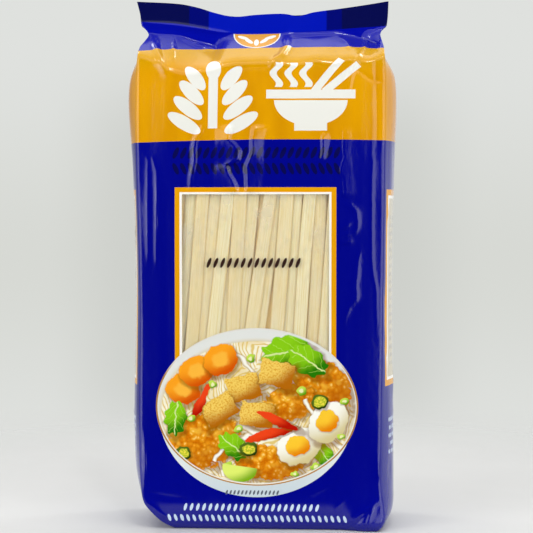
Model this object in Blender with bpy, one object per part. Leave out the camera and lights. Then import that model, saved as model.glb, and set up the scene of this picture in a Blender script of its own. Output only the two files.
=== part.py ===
"""Sealed film pack of dried flat rice noodles, standing upright on its folded bottom.

Three sub-parts: the printed film bag, a hollow skin with a window cut in its front, the flat end
seal along its top, and the bundle of flat noodles inside. The front faces -Y, the pack stands on
z = 0 and is centred on the origin. Lengths are metres, apart from the profiles, which are in
millimetres and turned to metres by MM.
"""

import math
import random

import bmesh
import bpy
from mathutils import Vector

MM = 0.001

# Driving sizes of the pack.
PACK_HEIGHT = 0.2172
FIN_BASE = 0.2066
FIN_THICKNESS = 0.0012
FILM_WALL = 0.0010
CLEARANCE = 0.0003
GABLE_START = 0.186
TUCK_END = 0.2068

# Profiles up the pack: (height, value) in millimetres, read through a smooth curve.
LEFT_CREASE = [
    (0, 35.0), (2.6, 39.5), (6.5, 43.8), (11, 47.2), (18, 48.2), (32, 48.6), (94, 48.4), (154, 49.8),
    (186, 50.4), (197, 50.2), (200, 48.9), (203, 47.7), (205, 48.6), (207, 50.8), (220, 51.6),
]
RIGHT_CREASE = [
    (0, 46.2), (3, 47.6), (8, 48.4), (24, 48.6), (45, 49.0), (82, 49.6), (166, 50.4), (186, 50.5),
    (197, 50.4), (200, 49.8), (203, 49.3), (205, 49.6), (207, 51.0), (220, 51.6),
]
LEFT_SIDE = [
    (0, 43.0), (3, 47.5), (6, 50.2), (16, 52.7), (54, 53.9), (107, 52.6), (150, 54.2), (174, 56.2),
    (184, 55.6), (190, 53.0), (195, 48.5), (199, 42.5), (203, 35.5), (206, 30.5),
]
RIGHT_SIDE = [
    (0, 49.8), (3, 52.2), (7, 54.6), (16, 55.0), (42, 54.8), (113, 54.2), (150, 55.0), (170, 55.8),
    (184, 55.2), (190, 52.8), (195, 48.5), (199, 42.5), (203, 35.5), (206, 30.5),
]
HALF_DEPTH = [
    (0, 19.6), (2, 21.2), (5, 22.1), (12, 22.5), (100, 22.6), (184, 22.5), (190, 21.8), (193.5, 20.3),
    (196, 17.8), (198.5, 14.2), (201, 10.0), (203.5, 5.6), (205.5, 2.0), (206.6, 0.6), (220, 0.6),
]
CROWN = [
    (0, 0.2), (4, 1.1), (12, 2.2), (50, 3.2), (120, 3.4), (170, 2.9), (188, 1.9), (197, 0.8),
    (204, 0.0), (220, 0.0),
]

# Heights in millimetres at which the bag's outline is taken.
BAG_RINGS = [0, 2, 4, 7, 11, 16, 24, 36, 50, 66, 82, 98, 114, 130, 146, 160, 171, 179, 185, 189, 191.5,
             193.5, 195.2, 196.8, 198.5, 200, 201.5, 203, 204.3, 205.4, 206.6]

# The end seal along its width: how far its root sags, its edge drops and its edge leans back.
SEAL_HALF_WIDTH = 0.0516
ROOT_SAG = [(-52, 0.0), (-36, 0.9), (-12, 3.2), (12, 3.0), (36, 1.6), (52, 0.6)]
EDGE_DROP = [
    (-52, 0.0), (-35, 1.0), (-27, 2.6), (-20, 4.8), (-12, 6.5), (-3, 5.8), (9, 5.4), (15, 6.4),
    (21, 4.9), (32, 3.5), (43, 2.0), (52, 0.6),
]
EDGE_LEAN = [(-52, -0.6), (-36, 0.8), (-16, 4.4), (0, 3.6), (15, 4.6), (34, 1.8), (52, -0.4)]
LEAN_POWER = 1.4
SEAL_ROWS = 5
SEAL_STEPS = 40

# The window in the front and the lap seam down the back.
WINDOW_LEFT = -0.0314
WINDOW_RIGHT = 0.0282
WINDOW_TOP = 0.1364
WINDOW_FOOT = 0.0735
WINDOW_ARCH = 0.0090
WINDOW_CUT = (-0.040, -0.021)
SEAM_HALF_WIDTH = 0.0055
SEAM_RISE = 0.0006
SEAM_LIP = 0.0004

# The folded bottom: the front flap and the tucked sides lie a little above the back flap.
FOLD_EDGE = -0.0045
FLAP_RECESS = 0.0005
TUCK_RECESS = 0.0010
LEFT_TUCK = [(-0.0400, -0.0105), (-0.0400, 0.0105), (-0.0265, 0.0)]
RIGHT_TUCK = [(0.0465, -0.0115), (0.0300, 0.0), (0.0465, 0.0115)]
FRONT_FLAP = [(-0.0310, -0.0175), (0.0425, -0.0175), (0.0350, FOLD_EDGE), (-0.0265, FOLD_EDGE)]

# The noodles: true width and thickness, and the two layers that show behind the window.
NOODLE_WIDTH = 0.0052
NOODLE_THICKNESS = 0.0009
NOODLE_LEAN = math.radians(6.0)
BUNDLE_FOOT = 0.0014
BUNDLE_TOP = 0.1925
BUNDLE_SIDE = (0.024, 0.184)
FOOT_RINGS = [1.4, 2.4, 4.0, 6.5, 10.0, 16.0, 24.0]
TOP_RINGS = [186.5, 189.0, 191.0, 192.5]
FOOT_TAPER = 0.0012
TOP_TAPER = 0.0016
POCKET_DEPTH = 0.0022
POCKET_MARGIN = 0.0090
BACK_LAYER = (13, 0.0053, 0.0015)
FRONT_LAYER = (9, 0.0076, 0.0001)
STRIP_STEPS = 12
SEED = 41

# How finely the surfaces are divided.
FRONT_STEPS = 20
SIDE_STEPS = 8
BACK_STEPS = 8
INNER_STEPS = 10
SHARP_ANGLE = math.radians(35.0)


def smooth_read(points, at):
    """Value of a profile at a place, on a smooth curve through its points."""
    if at <= points[0][0]:
        return points[0][1]
    if at >= points[-1][0]:
        return points[-1][1]
    i = max(k for k in range(len(points) - 1) if points[k][0] <= at)
    slopes = []
    for k in (i, i + 1):
        before = points[max(k - 1, 0)]
        after = points[min(k + 1, len(points) - 1)]
        slopes.append((after[1] - before[1]) / (after[0] - before[0]))
    (x0, y0), (x1, y1) = points[i], points[i + 1]
    span = x1 - x0
    t = (at - x0) / span
    return (y0 * (1 + 2 * t) * (1 - t) ** 2 + span * slopes[0] * t * (1 - t) ** 2
            + y1 * t * t * (3 - 2 * t) - span * slopes[1] * t * t * (1 - t))


def read_mm(points, at):
    """The same in metres, for a place given in metres."""
    return smooth_read(points, at / MM) * MM


def ease(low, high, at):
    """Zero below low, one above high and smooth between."""
    t = min(max((at - low) / (high - low), 0.0), 1.0)
    return t * t * (3 - 2 * t)


def face_depth(x, z, inset=0.0):
    """Distance of the front or back film from the middle plane, at a place on it."""
    half = read_mm(RIGHT_CREASE if x > 0 else LEFT_CREASE, z)
    across = min(abs(x) / half, 1.0)
    return read_mm(HALF_DEPTH, z) + read_mm(CROWN, z) * (1 - across ** 2.4) - inset


def side_reach(right, z, along, inset=0.0):
    """Sideways reach of a side panel; along runs from -1 at the front crease to 1 at the back."""
    crease = read_mm(RIGHT_CREASE if right else LEFT_CREASE, z)
    middle = read_mm(RIGHT_SIDE if right else LEFT_SIDE, z)
    middle += (crease - middle) * ease(TUCK_END - 0.001, TUCK_END, z)
    power = 2.2 if middle > crease else 1.15
    return crease + (middle - crease) * (1 - abs(along) ** power) - inset


def section(z, inset=0.0, seam=True):
    """Closed outline of the pack at one height, anticlockwise from the front left crease."""
    left = side_reach(False, z, 1.0, inset)
    right = side_reach(True, z, 1.0, inset)
    half = read_mm(HALF_DEPTH, z) - inset
    rise = SEAM_RISE if seam else 0.0
    outline = []
    for i in range(FRONT_STEPS):
        x = -left + (left + right) * i / FRONT_STEPS
        outline.append((x, -face_depth(x, z, inset)))
    for i in range(SIDE_STEPS):
        along = -1 + 2 * i / SIDE_STEPS
        outline.append((side_reach(True, z, along, inset), half * along))
    edge = SEAM_HALF_WIDTH
    foot = edge + SEAM_LIP
    stops = [right - (right - foot) * i / BACK_STEPS for i in range(BACK_STEPS)]
    stops += [foot, edge, -edge]
    stops += [-foot - (left - foot) * i / BACK_STEPS for i in range(BACK_STEPS)]
    for x in stops:
        lift = rise * (1 - ease(FIN_BASE - SEAM_HALF_WIDTH, FIN_BASE, z)) if abs(x) <= edge else 0.0
        outline.append((x, face_depth(x, z, inset) + lift))
    for i in range(SIDE_STEPS):
        along = 1 - 2 * i / SIDE_STEPS
        outline.append((-side_reach(False, z, along, inset), half * along))
    return outline


def settle(x, y, z):
    """The root of the end seal sags in the middle, and the gable below it follows."""
    return Vector((x, y, z - read_mm(ROOT_SAG, x) * ease(GABLE_START, FIN_BASE, z)))


def bag_rings():
    """The rings of points from the pack's bottom to the ridge of its gable."""
    return [[settle(x, y, h * MM) for x, y in section(h * MM)] for h in BAG_RINGS]


def seal_rings():
    """The rings of the end seal, a thin wavy strip from just above the ridge to its edge."""
    across = [SEAL_HALF_WIDTH * (2 * i / SEAL_STEPS - 1) for i in range(SEAL_STEPS + 1)]
    half = FIN_THICKNESS / 2
    outline = [(x, -half) for x in across] + [(x, half) for x in reversed(across)]
    rings = []
    for row in range(SEAL_ROWS + 1):
        up = row / SEAL_ROWS
        ring = []
        for x, y in outline:
            root = FIN_BASE + CLEARANCE - read_mm(ROOT_SAG, x)
            edge = PACK_HEIGHT - read_mm(EDGE_DROP, x)
            lean = read_mm(EDGE_LEAN, x) * up ** LEAN_POWER
            ring.append(Vector((x, y + lean, root + (edge - root) * up)))
        rings.append(ring)
    return rings


def loft(name, rings):
    """A closed mesh through rings of equal length, with flat caps."""
    bm = bmesh.new()
    loops = [[bm.verts.new(p) for p in ring] for ring in rings]
    count = len(loops[0])
    for low, high in zip(loops, loops[1:]):
        for i in range(count):
            j = (i + 1) % count
            bm.faces.new((low[i], low[j], high[j], high[i]))
    bm.faces.new(list(reversed(loops[0])))
    bm.faces.new(loops[-1])
    bmesh.ops.recalc_face_normals(bm, faces=bm.faces)
    bmesh.ops.triangulate(bm, faces=bm.faces)
    mesh = bpy.data.meshes.new(name)
    bm.to_mesh(mesh)
    bm.free()
    mesh.shade_smooth()
    mesh.set_sharp_from_angle(angle=SHARP_ANGLE)
    obj = bpy.data.objects.new(name, mesh)
    bpy.context.scene.collection.objects.link(obj)
    return obj


def inner_rings(inset, spare, pocket=0.0):
    """Rings of the space inside the film, or of the noodles' core with its pocket for the strips.

    The inset is measured from the film's outer face, and spare lengthens both ends.
    """
    low, high = BUNDLE_SIDE
    heights = [h * MM for h in FOOT_RINGS]
    heights += [low + (high - low) * k / INNER_STEPS for k in range(1, INNER_STEPS + 1)]
    heights += [h * MM for h in TOP_RINGS]
    rings = []
    for z in heights:
        shrink = inset + FOOT_TAPER * (1 - ease(BUNDLE_FOOT, BUNDLE_FOOT * 4, z))
        shrink += TOP_TAPER * ease(high, BUNDLE_TOP, z)
        ring = []
        for x, y in section(z, shrink, seam=False):
            if y < 0 and pocket > 0:
                y += pocket * pocket_share(x, z)
            ring.append(Vector((x, y, z)))
        rings.append(ring)
    for ring, shift in ((rings[0], -spare), (rings[-1], spare)):
        for point in ring:
            point.z += shift
    return rings


def pocket_share(x, z):
    """One where the strips lie behind the window, falling to zero past its edges."""
    m = POCKET_MARGIN
    across = ease(WINDOW_LEFT - m, WINDOW_LEFT - m / 2, x)
    across *= 1 - ease(WINDOW_RIGHT + m / 2, WINDOW_RIGHT + m, x)
    up = ease(WINDOW_FOOT - 2 * m, WINDOW_FOOT - m, z)
    return across * up * (1 - ease(WINDOW_TOP + m, WINDOW_TOP + 2 * m, z))


def as_cutter(obj):
    """A guide solid that only cuts."""
    obj.hide_render = True
    obj.display_type = "WIRE"
    return obj


def window_prism():
    """Cutter for the window: straight sides and top, and a foot that arches up in the middle."""
    steps = 12
    outline = [(WINDOW_LEFT, WINDOW_TOP), (WINDOW_RIGHT, WINDOW_TOP)]
    for i in range(steps + 1):
        t = 1 - 2 * i / steps
        x = (WINDOW_LEFT + WINDOW_RIGHT) / 2 + (WINDOW_RIGHT - WINDOW_LEFT) / 2 * t
        outline.append((x, WINDOW_FOOT + WINDOW_ARCH * (1 - t * t)))
    rings = [[Vector((x, y, z)) for x, z in outline] for y in WINDOW_CUT]
    return as_cutter(loft("window_cutter", rings))


def fold_cutters():
    """Shallow cutters under the pack: the front flap and the two tucked sides."""
    cutters = []
    shapes = (("front_flap", FRONT_FLAP, FLAP_RECESS), ("left_tuck", LEFT_TUCK, TUCK_RECESS),
              ("right_tuck", RIGHT_TUCK, TUCK_RECESS))
    for name, outline, depth in shapes:
        rings = [[Vector((x, y, z)) for x, y in outline] for z in (-0.001, depth)]
        cutters.append(as_cutter(loft(name + "_cutter", rings)))
    return cutters


def material(name, colour, roughness):
    """A plain dielectric finish."""
    mat = bpy.data.materials.new(name)
    mat.use_nodes = True
    shader = mat.node_tree.nodes["Principled BSDF"]
    shader.inputs["Base Color"].default_value = (*colour, 1.0)
    shader.inputs["Roughness"].default_value = roughness
    shader.inputs["Metallic"].default_value = 0.0
    return mat


def add_difference(obj, cutter):
    """Cut one solid out of another."""
    cut = obj.modifiers.new(cutter.name, "BOOLEAN")
    cut.operation = "DIFFERENCE"
    cut.solver = "EXACT"
    cut.object = cutter


def build_bag():
    """The printed film: a hollow skin round the noodles, with the window opening in its front."""
    bag = loft("film_bag", bag_rings())
    space = as_cutter(loft("inner_space", inner_rings(FILM_WALL, CLEARANCE)))
    for cutter in [space, window_prism()] + fold_cutters():
        add_difference(bag, cutter)
    bag.data.materials.append(material("printed_film", (0.012, 0.016, 0.24), 0.25))
    return bag


def build_seal():
    """The end seal on top, front and back film welded into one flat strip."""
    seal = loft("top_seal", seal_rings())
    seal.data.materials.append(material("seal_film", (0.008, 0.020, 0.30), 0.22))
    return seal


def noodle_strip(name, x0, lean, bow, roll, depth, foot, top):
    """One flat noodle behind the window, following the film's curve at its own depth."""
    rings = []
    middle = (foot + top) / 2
    for k in range(STRIP_STEPS + 1):
        t = k / STRIP_STEPS
        z = foot + (top - foot) * t
        centre = x0 + math.tan(lean) * (z - middle) + bow * math.sin(math.pi * t)
        ring = []
        for side, layer in ((-1, 0), (1, 0), (1, 1), (-1, 1)):
            x = centre + side * NOODLE_WIDTH / 2
            front = face_depth(x, z, FILM_WALL + CLEARANCE) - depth - max(roll * side, 0.0)
            ring.append(Vector((x, -front + NOODLE_THICKNESS * layer, z)))
        rings.append(ring)
    return loft(name, rings)


def strip_layer(layer, rng, number, pitch, depth):
    """A row of noodles across the window, each with its own lean, bow and roll."""
    strips = []
    for i in range(number):
        x0 = (WINDOW_LEFT + WINDOW_RIGHT) / 2 + (i - (number - 1) / 2) * pitch
        x0 += rng.uniform(-0.3, 0.3) * (pitch - NOODLE_WIDTH * 0.8)
        lean = NOODLE_LEAN * rng.uniform(0.5, 1.5)
        bow = rng.uniform(-0.0010, 0.0010)
        roll = rng.uniform(-0.0007, 0.0007)
        foot = WINDOW_FOOT - rng.uniform(0.008, 0.012)
        top = WINDOW_TOP + rng.uniform(0.008, 0.012)
        extra = rng.uniform(0.0, 0.0003)
        strips.append(noodle_strip(f"strip_{layer}_{i}", x0, lean, bow, roll, depth + extra, foot, top))
    return strips


def keep_outer_shell(mesh):
    """Drop the scraps and the sealed hollows that fusing leaves, keeping the largest shell."""
    bm = bmesh.new()
    bm.from_mesh(mesh)
    bmesh.ops.triangulate(bm, faces=bm.faces)
    left = set(bm.faces)
    shells = []
    while left:
        stack = [left.pop()]
        shell = []
        while stack:
            face = stack.pop()
            shell.append(face)
            for edge in face.edges:
                for other in edge.link_faces:
                    if other in left:
                        left.remove(other)
                        stack.append(other)
        shells.append(shell)
    shells.sort(key=len)
    for shell in shells[:-1]:
        bmesh.ops.delete(bm, geom=shell, context="FACES")
    bm.to_mesh(mesh)
    bm.free()


def build_bundle():
    """The noodle bundle: a core that fills the film, with the strips that show fused on."""
    inset = FILM_WALL + CLEARANCE
    bundle = loft("noodle_bundle", inner_rings(inset, 0.0, POCKET_DEPTH))
    rng = random.Random(SEED)
    strips = []
    for layer, (number, pitch, depth) in enumerate((BACK_LAYER, FRONT_LAYER)):
        strips += strip_layer(layer, rng, number, pitch, depth)
    group = bpy.data.collections.new("strips")
    bpy.context.scene.collection.children.link(group)
    for strip in strips:
        bpy.context.scene.collection.objects.unlink(strip)
        group.objects.link(strip)
    fuse = bundle.modifiers.new("fuse", "BOOLEAN")
    fuse.operation = "UNION"
    fuse.operand_type = "COLLECTION"
    fuse.solver = "EXACT"
    fuse.collection = group
    graph = bpy.context.evaluated_depsgraph_get()
    fused = bpy.data.meshes.new_from_object(bundle.evaluated_get(graph))
    bundle.modifiers.clear()
    bundle.data = fused
    for strip in strips:
        bpy.data.objects.remove(strip, do_unlink=True)
    bpy.data.collections.remove(group)
    keep_outer_shell(fused)
    fused.materials.clear()
    fused.materials.append(material("rice_noodle", (0.74, 0.62, 0.36), 0.45))
    return bundle


def main():
    for obj in list(bpy.data.objects):
        bpy.data.objects.remove(obj, do_unlink=True)
    build_bag()
    build_seal()
    build_bundle()


main()
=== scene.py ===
"""Looks of a sealed film pack of dried flat rice noodles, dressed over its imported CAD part.

The front faces -Y and the pack stands on z = 0. Lengths in this file are millimetres; MM turns them
into Blender's metres where a mesh, a light or the camera is made. On the film, u is the way round the
pack from the middle of the front and v the way up it, both measured along the film.
"""

import math
import random
from functools import partialmethod

import bmesh
import bpy
import numpy as np
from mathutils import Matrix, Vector


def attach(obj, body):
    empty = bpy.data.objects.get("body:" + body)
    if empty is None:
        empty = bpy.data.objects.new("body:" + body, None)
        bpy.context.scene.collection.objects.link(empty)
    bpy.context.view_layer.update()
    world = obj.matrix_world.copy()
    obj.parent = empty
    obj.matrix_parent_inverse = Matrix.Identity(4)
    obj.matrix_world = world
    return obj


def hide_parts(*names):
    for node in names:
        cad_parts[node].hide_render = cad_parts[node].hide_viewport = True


MM = 0.001

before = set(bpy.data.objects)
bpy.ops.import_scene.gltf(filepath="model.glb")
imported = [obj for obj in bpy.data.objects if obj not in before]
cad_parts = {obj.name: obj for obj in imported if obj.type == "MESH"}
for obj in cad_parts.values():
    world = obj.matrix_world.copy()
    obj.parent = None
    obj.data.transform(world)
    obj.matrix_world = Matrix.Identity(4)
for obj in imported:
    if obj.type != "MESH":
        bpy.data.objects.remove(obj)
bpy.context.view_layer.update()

# ---------------------------------------------------------------- the form, close to the CAD part's

PACK_HEIGHT = 217.2
FIN_BASE = 206.6
GABLE_START = 186.0
TUCK_END = 206.8

# Reach from the middle at each height, as (height, reach): the creases beside the front and back, and the
# middles of the sides.
LEFT_CREASE = [
    (0, 35.0), (2.6, 39.5), (6.5, 43.8), (11, 47.2), (18, 48.2), (32, 48.6), (94, 48.4), (154, 49.8),
    (186, 50.4), (197, 50.2), (200, 48.9), (203, 47.7), (205, 48.6), (207, 50.4), (212, 51.2), (220, 53.4),
]
RIGHT_CREASE = [
    (0, 48.6), (2, 50.2), (5, 50.9), (9, 50.4), (15, 49.3), (24, 48.8), (45, 49.0), (82, 49.6), (166, 50.4),
    (186, 50.5), (197, 50.4), (200, 49.8), (203, 49.3), (205, 49.8), (207, 51.6), (220, 52.5),
]
LEFT_SIDE = [
    (0, 34.5), (4, 38.8), (8, 43.8), (11, 47.2), (16, 50.6), (20, 52.0), (26, 52.8), (38, 53.3), (54, 53.5),
    (107, 52.6), (150, 54.2), (174, 56.2), (184, 55.6), (190, 53.0), (195, 48.5), (199, 42.5), (203, 35.5),
    (206, 30.5),
]
RIGHT_SIDE = [
    (0, 49.8), (3, 52.2), (7, 54.6), (16, 55.0), (42, 54.8), (113, 54.2), (150, 55.0), (170, 55.8),
    (184, 55.2), (190, 52.8), (195, 48.5), (199, 42.5), (203, 35.5), (206, 30.5),
]

# Half the depth at the corners, and how much the middle stands out beyond it, both as (height, depth).
HALF_DEPTH = [
    (0, 19.6), (2, 21.2), (5, 22.1), (12, 22.5), (100, 22.6), (150, 22.3), (184, 20.7), (190, 20.5),
    (193.5, 19.6), (196, 17.8), (198.5, 14.2), (201, 10.0), (203.5, 5.6), (205.5, 2.0), (206.6, 0.6),
    (220, 0.6),
]
CROWN = [
    (0, 0.2), (4, 0.6), (12, 1.1), (50, 1.6), (120, 1.7), (170, 1.5), (188, 1.0), (197, 0.4), (220, 0.0),
]
CROWN_POWER = 2.4

# The end seal along x: how far its root sags, its edge drops and its edge leans back.
ROOT_SAG = [(-52, 0.0), (-36, 0.9), (-12, 3.2), (12, 3.0), (36, 1.6), (52, 0.6)]
EDGE_DROP = [
    (-52, 0.0), (-35, 1.0), (-27, 2.6), (-20, 4.8), (-12, 6.5), (-3, 5.8), (9, 5.4), (15, 6.4),
    (21, 4.9), (32, 3.5), (43, 2.0), (52, 0.6),
]
EDGE_LEAN = [(-52, 0.9), (-36, 1.3), (-16, 1.2), (0, 1.0), (15, 1.2), (34, 1.2), (52, 0.8)]

# The lap seam down the back.
SEAM_HALF_WIDTH = 5.5
SEAM_RISE = 0.6
SEAM_LIP = 0.4

# How far the front leans back towards its shoulder.
FRONT_LEAN = [(0, 0), (130, 0), (150, 0.6), (170, 2.3), (184, 4.2), (190, 5.0), (200, 5.4), (220, 5.4)]

# Where the shoulder's slope begins, front and back: (x, height).
SHOULDER_START = [
    (-52, 192.0), (-46, 190.2), (-40, 187.0), (-35, 184.2), (-30, 183.4), (-22, 185.2), (-10, 188.2),
    (8, 188.5), (15, 187.7), (22, 189.5), (30, 188.3), (36, 190.1), (43, 189.3), (52, 191),
]
# How far the slope has fallen, as shares of its length and of its fall.
SHOULDER_FALL = [
    (0, 0), (0.05, 0.005), (0.1, 0.020), (0.15, 0.046), (0.2, 0.081), (0.3, 0.182), (0.4, 0.304),
    (0.5, 0.426), (0.6, 0.547), (0.75, 0.729), (0.875, 0.873), (1, 1),
]
UPRIGHT_DEPTH = 0.9
# Where the slope ends at the upright film under the seal: (x, height), front and back.
FRONT_SHOULDER = [
    (-52, 204.2), (-45, 203.8), (-35, 203.7), (-30.5, 202.5), (-25, 201.6), (-19.2, 200.2),
    (-15.5, 204.5), (-10, 206.2), (8, 206.1), (15, 206.0), (30, 205.4), (36, 204.0), (40, 202.6),
    (44.6, 201.3), (50, 205.6), (52, 206.0),
]
BACK_SHOULDER = [(-52, 205.6), (-30, 203.4), (-8, 205.6), (6, 204.4), (24, 202.6), (34, 205.2), (52, 205.8)]

# The folded corner at the right of the front's foot: middle x, reach sideways and up, how far it stands out.
FOOT_CORNER = (45.0, 8.0, 7.0, 3.2)

# The window, and the printed bowl whose upper rim is the window's foot.
WINDOW_LEFT = -31.4
WINDOW_RIGHT = 28.2
WINDOW_TOP = 136.4
BOWL_X = -1.05
BOWL_Z = 50.5
BOWL_RX = 41.0
BOWL_RZ = 32.0

# The film's row that becomes the window's foot, the heights between which rows bend for it, and how far
# inside the creases the bend ends.
FOOT_ROW = 78.0
BEND_SPAN = (48.0, 108.0)
BEND_MARGIN = 2

# The bowl's print is divided at these u, into materials of their own.
ART_EDGES = (-60.0, -13.0, 9.0, 60.0)

# How finely the film is divided.
FOOT_ROWS = 28
ART_ROWS = 58
WINDOW_ROWS = 58
BAND_ROWS = 80
GABLE_ROWS = 56
FIN_ROWS = 20
FOOT_END = 20.0
CREASE_ZONE = 3.0
CREASE_FACES = 7
MARGIN_FACES = 36
WINDOW_FACES = 88
SIDE_FACES = 20
BACK_FACES = 17
CAP_RINGS = 16
ROUNDING = 3
SLOPE_STEPS = 400

# About how wide the stretches of film are, to space their columns by.
LEFT_MARGIN = 18.0
RIGHT_MARGIN = 21.0
BACK_HALF = 50.0
BACK_MARGIN = 44.0
SIDE_WIDTH = 46.0

# ---------------------------------------------------------------- curves and relief


def smooth_read(points, at):
    """Values of a profile at many places, on a smooth curve through its points."""
    x, y = np.array(points, float).T
    slope = np.empty_like(y)
    slope[1:-1] = (y[2:] - y[:-2]) / (x[2:] - x[:-2])
    slope[0] = (y[1] - y[0]) / (x[1] - x[0])
    slope[-1] = (y[-1] - y[-2]) / (x[-1] - x[-2])
    at = np.clip(at, x[0], x[-1])
    i = np.clip(np.searchsorted(x, at, side="right") - 1, 0, len(x) - 2)
    span = x[i + 1] - x[i]
    t = (at - x[i]) / span
    return (y[i] * (1 + 2 * t) * (1 - t) ** 2 + span * slope[i] * t * (1 - t) ** 2
            + y[i + 1] * t * t * (3 - 2 * t) - span * slope[i + 1] * t * t * (1 - t))


def ease(low, high, at):
    """Zero below low, one above high and smooth between."""
    t = np.clip((at - low) / (high - low), 0.0, 1.0)
    return t * t * (3 - 2 * t)


LUMPS_ACROSS = 64


def lumps(seed, u, v, size_u, size_v):
    """Smooth random relief between -1 and 1, with lumps of the given size."""
    table = np.random.default_rng(seed).uniform(-1.0, 1.0, (LUMPS_ACROSS, LUMPS_ACROSS))
    a, b = u / size_u + LUMPS_ACROSS / 2, v / size_v + LUMPS_ACROSS / 2
    i, j = np.floor(a).astype(int), np.floor(b).astype(int)
    s, t = ease(0, 1, a - i), ease(0, 1, b - j)
    left, right = i % LUMPS_ACROSS, (i + 1) % LUMPS_ACROSS
    foot, top = j % LUMPS_ACROSS, (j + 1) % LUMPS_ACROSS
    low = table[left, foot] * (1 - s) + table[right, foot] * s
    high = table[left, top] * (1 - s) + table[right, top] * s
    return low * (1 - t) + high * t


# A fold keeps a little of its height at its very ends, and a low power makes it fade late.
CREASE_ENDS = (0.02, 0.98)
CREASE_FADE = 0.6


def crease(u, v, path, width, height, power=1.0):
    """A fold along a path, fading sideways over width and towards its ends; power 2 rounds its top."""
    path = np.array(path, float)
    steps = np.diff(path, axis=0)
    lengths = np.hypot(*steps.T)
    total = lengths.sum()
    best = np.full(u.shape, np.inf)
    place = np.zeros(u.shape)
    begun = 0.0
    for start, step, length in zip(path, steps, lengths):
        t = np.clip(((u - start[0]) * step[0] + (v - start[1]) * step[1]) / length ** 2, 0.0, 1.0)
        gap = np.hypot(u - start[0] - t * step[0], v - start[1] - t * step[1])
        nearer = gap < best
        best = np.where(nearer, gap, best)
        place = np.where(nearer, (begun + t * length) / total, place)
        begun += length
    fade = np.sin(math.pi * np.clip(place, *CREASE_ENDS)) ** CREASE_FADE
    return height * fade * np.exp(-(best / width) ** power)


def pleat(u, v, left, right, height):
    """Film lifted like a roof tile between two edges, each a list of (u, v) from its foot to its top.

    It rises from the left edge to the right one, or the other way round where height is below zero.
    """
    (left_u, left_v), (right_u, right_v) = np.array(left, float).T, np.array(right, float).T
    a, b = np.interp(v, left_v, left_u), np.interp(v, right_v, right_u)
    if height < 0:
        a, b = b, a
    width = b - a
    rise = np.clip((u - a) / width, 0.0, 1.0)
    fall = np.clip((u - b) / np.sign(width) / PLEAT_DROP, 0.0, 1.0)
    foot, top = left_v[0], left_v[-1]
    raised = abs(height) * rise * (1 - ease(0, 1, fall))
    return raised * ease(foot, foot + PLEAT_FADE, v) * (1 - ease(top - PLEAT_FADE, top, v))


# ---------------------------------------------------------------- the film's surface


def face_depth(x, h, shoulder):
    """Distance of the front or back film from the middle plane."""
    half = np.where(x > 0, smooth_read(RIGHT_CREASE, h), smooth_read(LEFT_CREASE, h))
    across = np.minimum(np.abs(x) / half, 1.0)
    start = smooth_read(SHOULDER_START, x)
    low = np.minimum(h, start)
    depth = smooth_read(HALF_DEPTH, low) + smooth_read(CROWN, low) * (1 - across ** CROWN_POWER)
    if shoulder is FRONT_SHOULDER:
        depth = depth - smooth_read(FRONT_LEAN, low)
    top = np.interp(x, *np.array(shoulder, float).T)
    climb = np.clip((h - start) / (top - start), 0.0, 1.0)
    depth = UPRIGHT_DEPTH + (depth - UPRIGHT_DEPTH) * (1 - smooth_read(SHOULDER_FALL, climb))
    end = smooth_read(HALF_DEPTH, FIN_BASE)
    return depth + (end - UPRIGHT_DEPTH) * ease(top, FIN_BASE, h) * (h > top)


FULL_SIDE_POWER = 2.2
TUCKED_SIDE_POWER = 1.15


def side_reach(crease_profile, side_profile, h, along):
    """Sideways reach of a side panel; along runs from -1 at the front crease to 1 at the back."""
    edge = smooth_read(crease_profile, h)
    middle = smooth_read(side_profile, h)
    middle = middle + (edge - middle) * ease(TUCK_END - 1, TUCK_END, h)
    power = np.where(middle > edge, FULL_SIDE_POWER, TUCKED_SIDE_POWER)
    return edge + (middle - edge) * (1 - np.abs(along) ** power)


RIM_PART = 0.98


def window_foot(x):
    """Height of the window's foot at x, which is the printed bowl's upper rim."""
    across = np.clip((x - BOWL_X) / BOWL_RX, -RIM_PART, RIM_PART)
    return BOWL_Z + BOWL_RZ * np.sqrt(1 - across ** 2)


def settled(x, y, h):
    """A film point in space: the seal's root sags, and its edge waves and leans back."""
    root = FIN_BASE - smooth_read(ROOT_SAG, x)
    edge = PACK_HEIGHT - smooth_read(EDGE_DROP, x)
    up = np.clip((h - FIN_BASE) / (PACK_HEIGHT - FIN_BASE), 0.0, 1.0)
    low = h - smooth_read(ROOT_SAG, x) * np.clip((h - GABLE_START) / (FIN_BASE - GABLE_START), 0.0, 1.0)
    z = np.where(h > FIN_BASE, root + (edge - root) * up, low)
    return np.stack([x, y + smooth_read(EDGE_LEAN, x) * up, z], axis=-1)


def stretch(width, faces, start_crease, end_crease):
    """Places from 0 to 1 across a stretch of film, closer together beside its creases."""
    first = CREASE_ZONE if start_crease else 0.0
    last = width - CREASE_ZONE if end_crease else width
    parts = [np.linspace(first, last, faces + 1)]
    if start_crease:
        parts.insert(0, np.linspace(0.0, first, CREASE_FACES + 1)[:-1])
    if end_crease:
        parts.append(np.linspace(last, width, CREASE_FACES + 1)[1:])
    return np.concatenate(parts) / width


def film_rows():
    """Heights of the film's rows, from the bottom to the edge of the end seal."""
    stops = [(0.0, FOOT_END, FOOT_ROWS), (FOOT_END, FOOT_ROW, ART_ROWS),
             (FOOT_ROW, WINDOW_TOP, WINDOW_ROWS), (WINDOW_TOP, GABLE_START, BAND_ROWS),
             (GABLE_START, FIN_BASE, GABLE_ROWS)]
    rows = [np.linspace(a, b, count + 1)[:-1] for a, b, count in stops]
    return np.concatenate(rows + [np.linspace(FIN_BASE, PACK_HEIGHT, FIN_ROWS + 1)])


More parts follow.
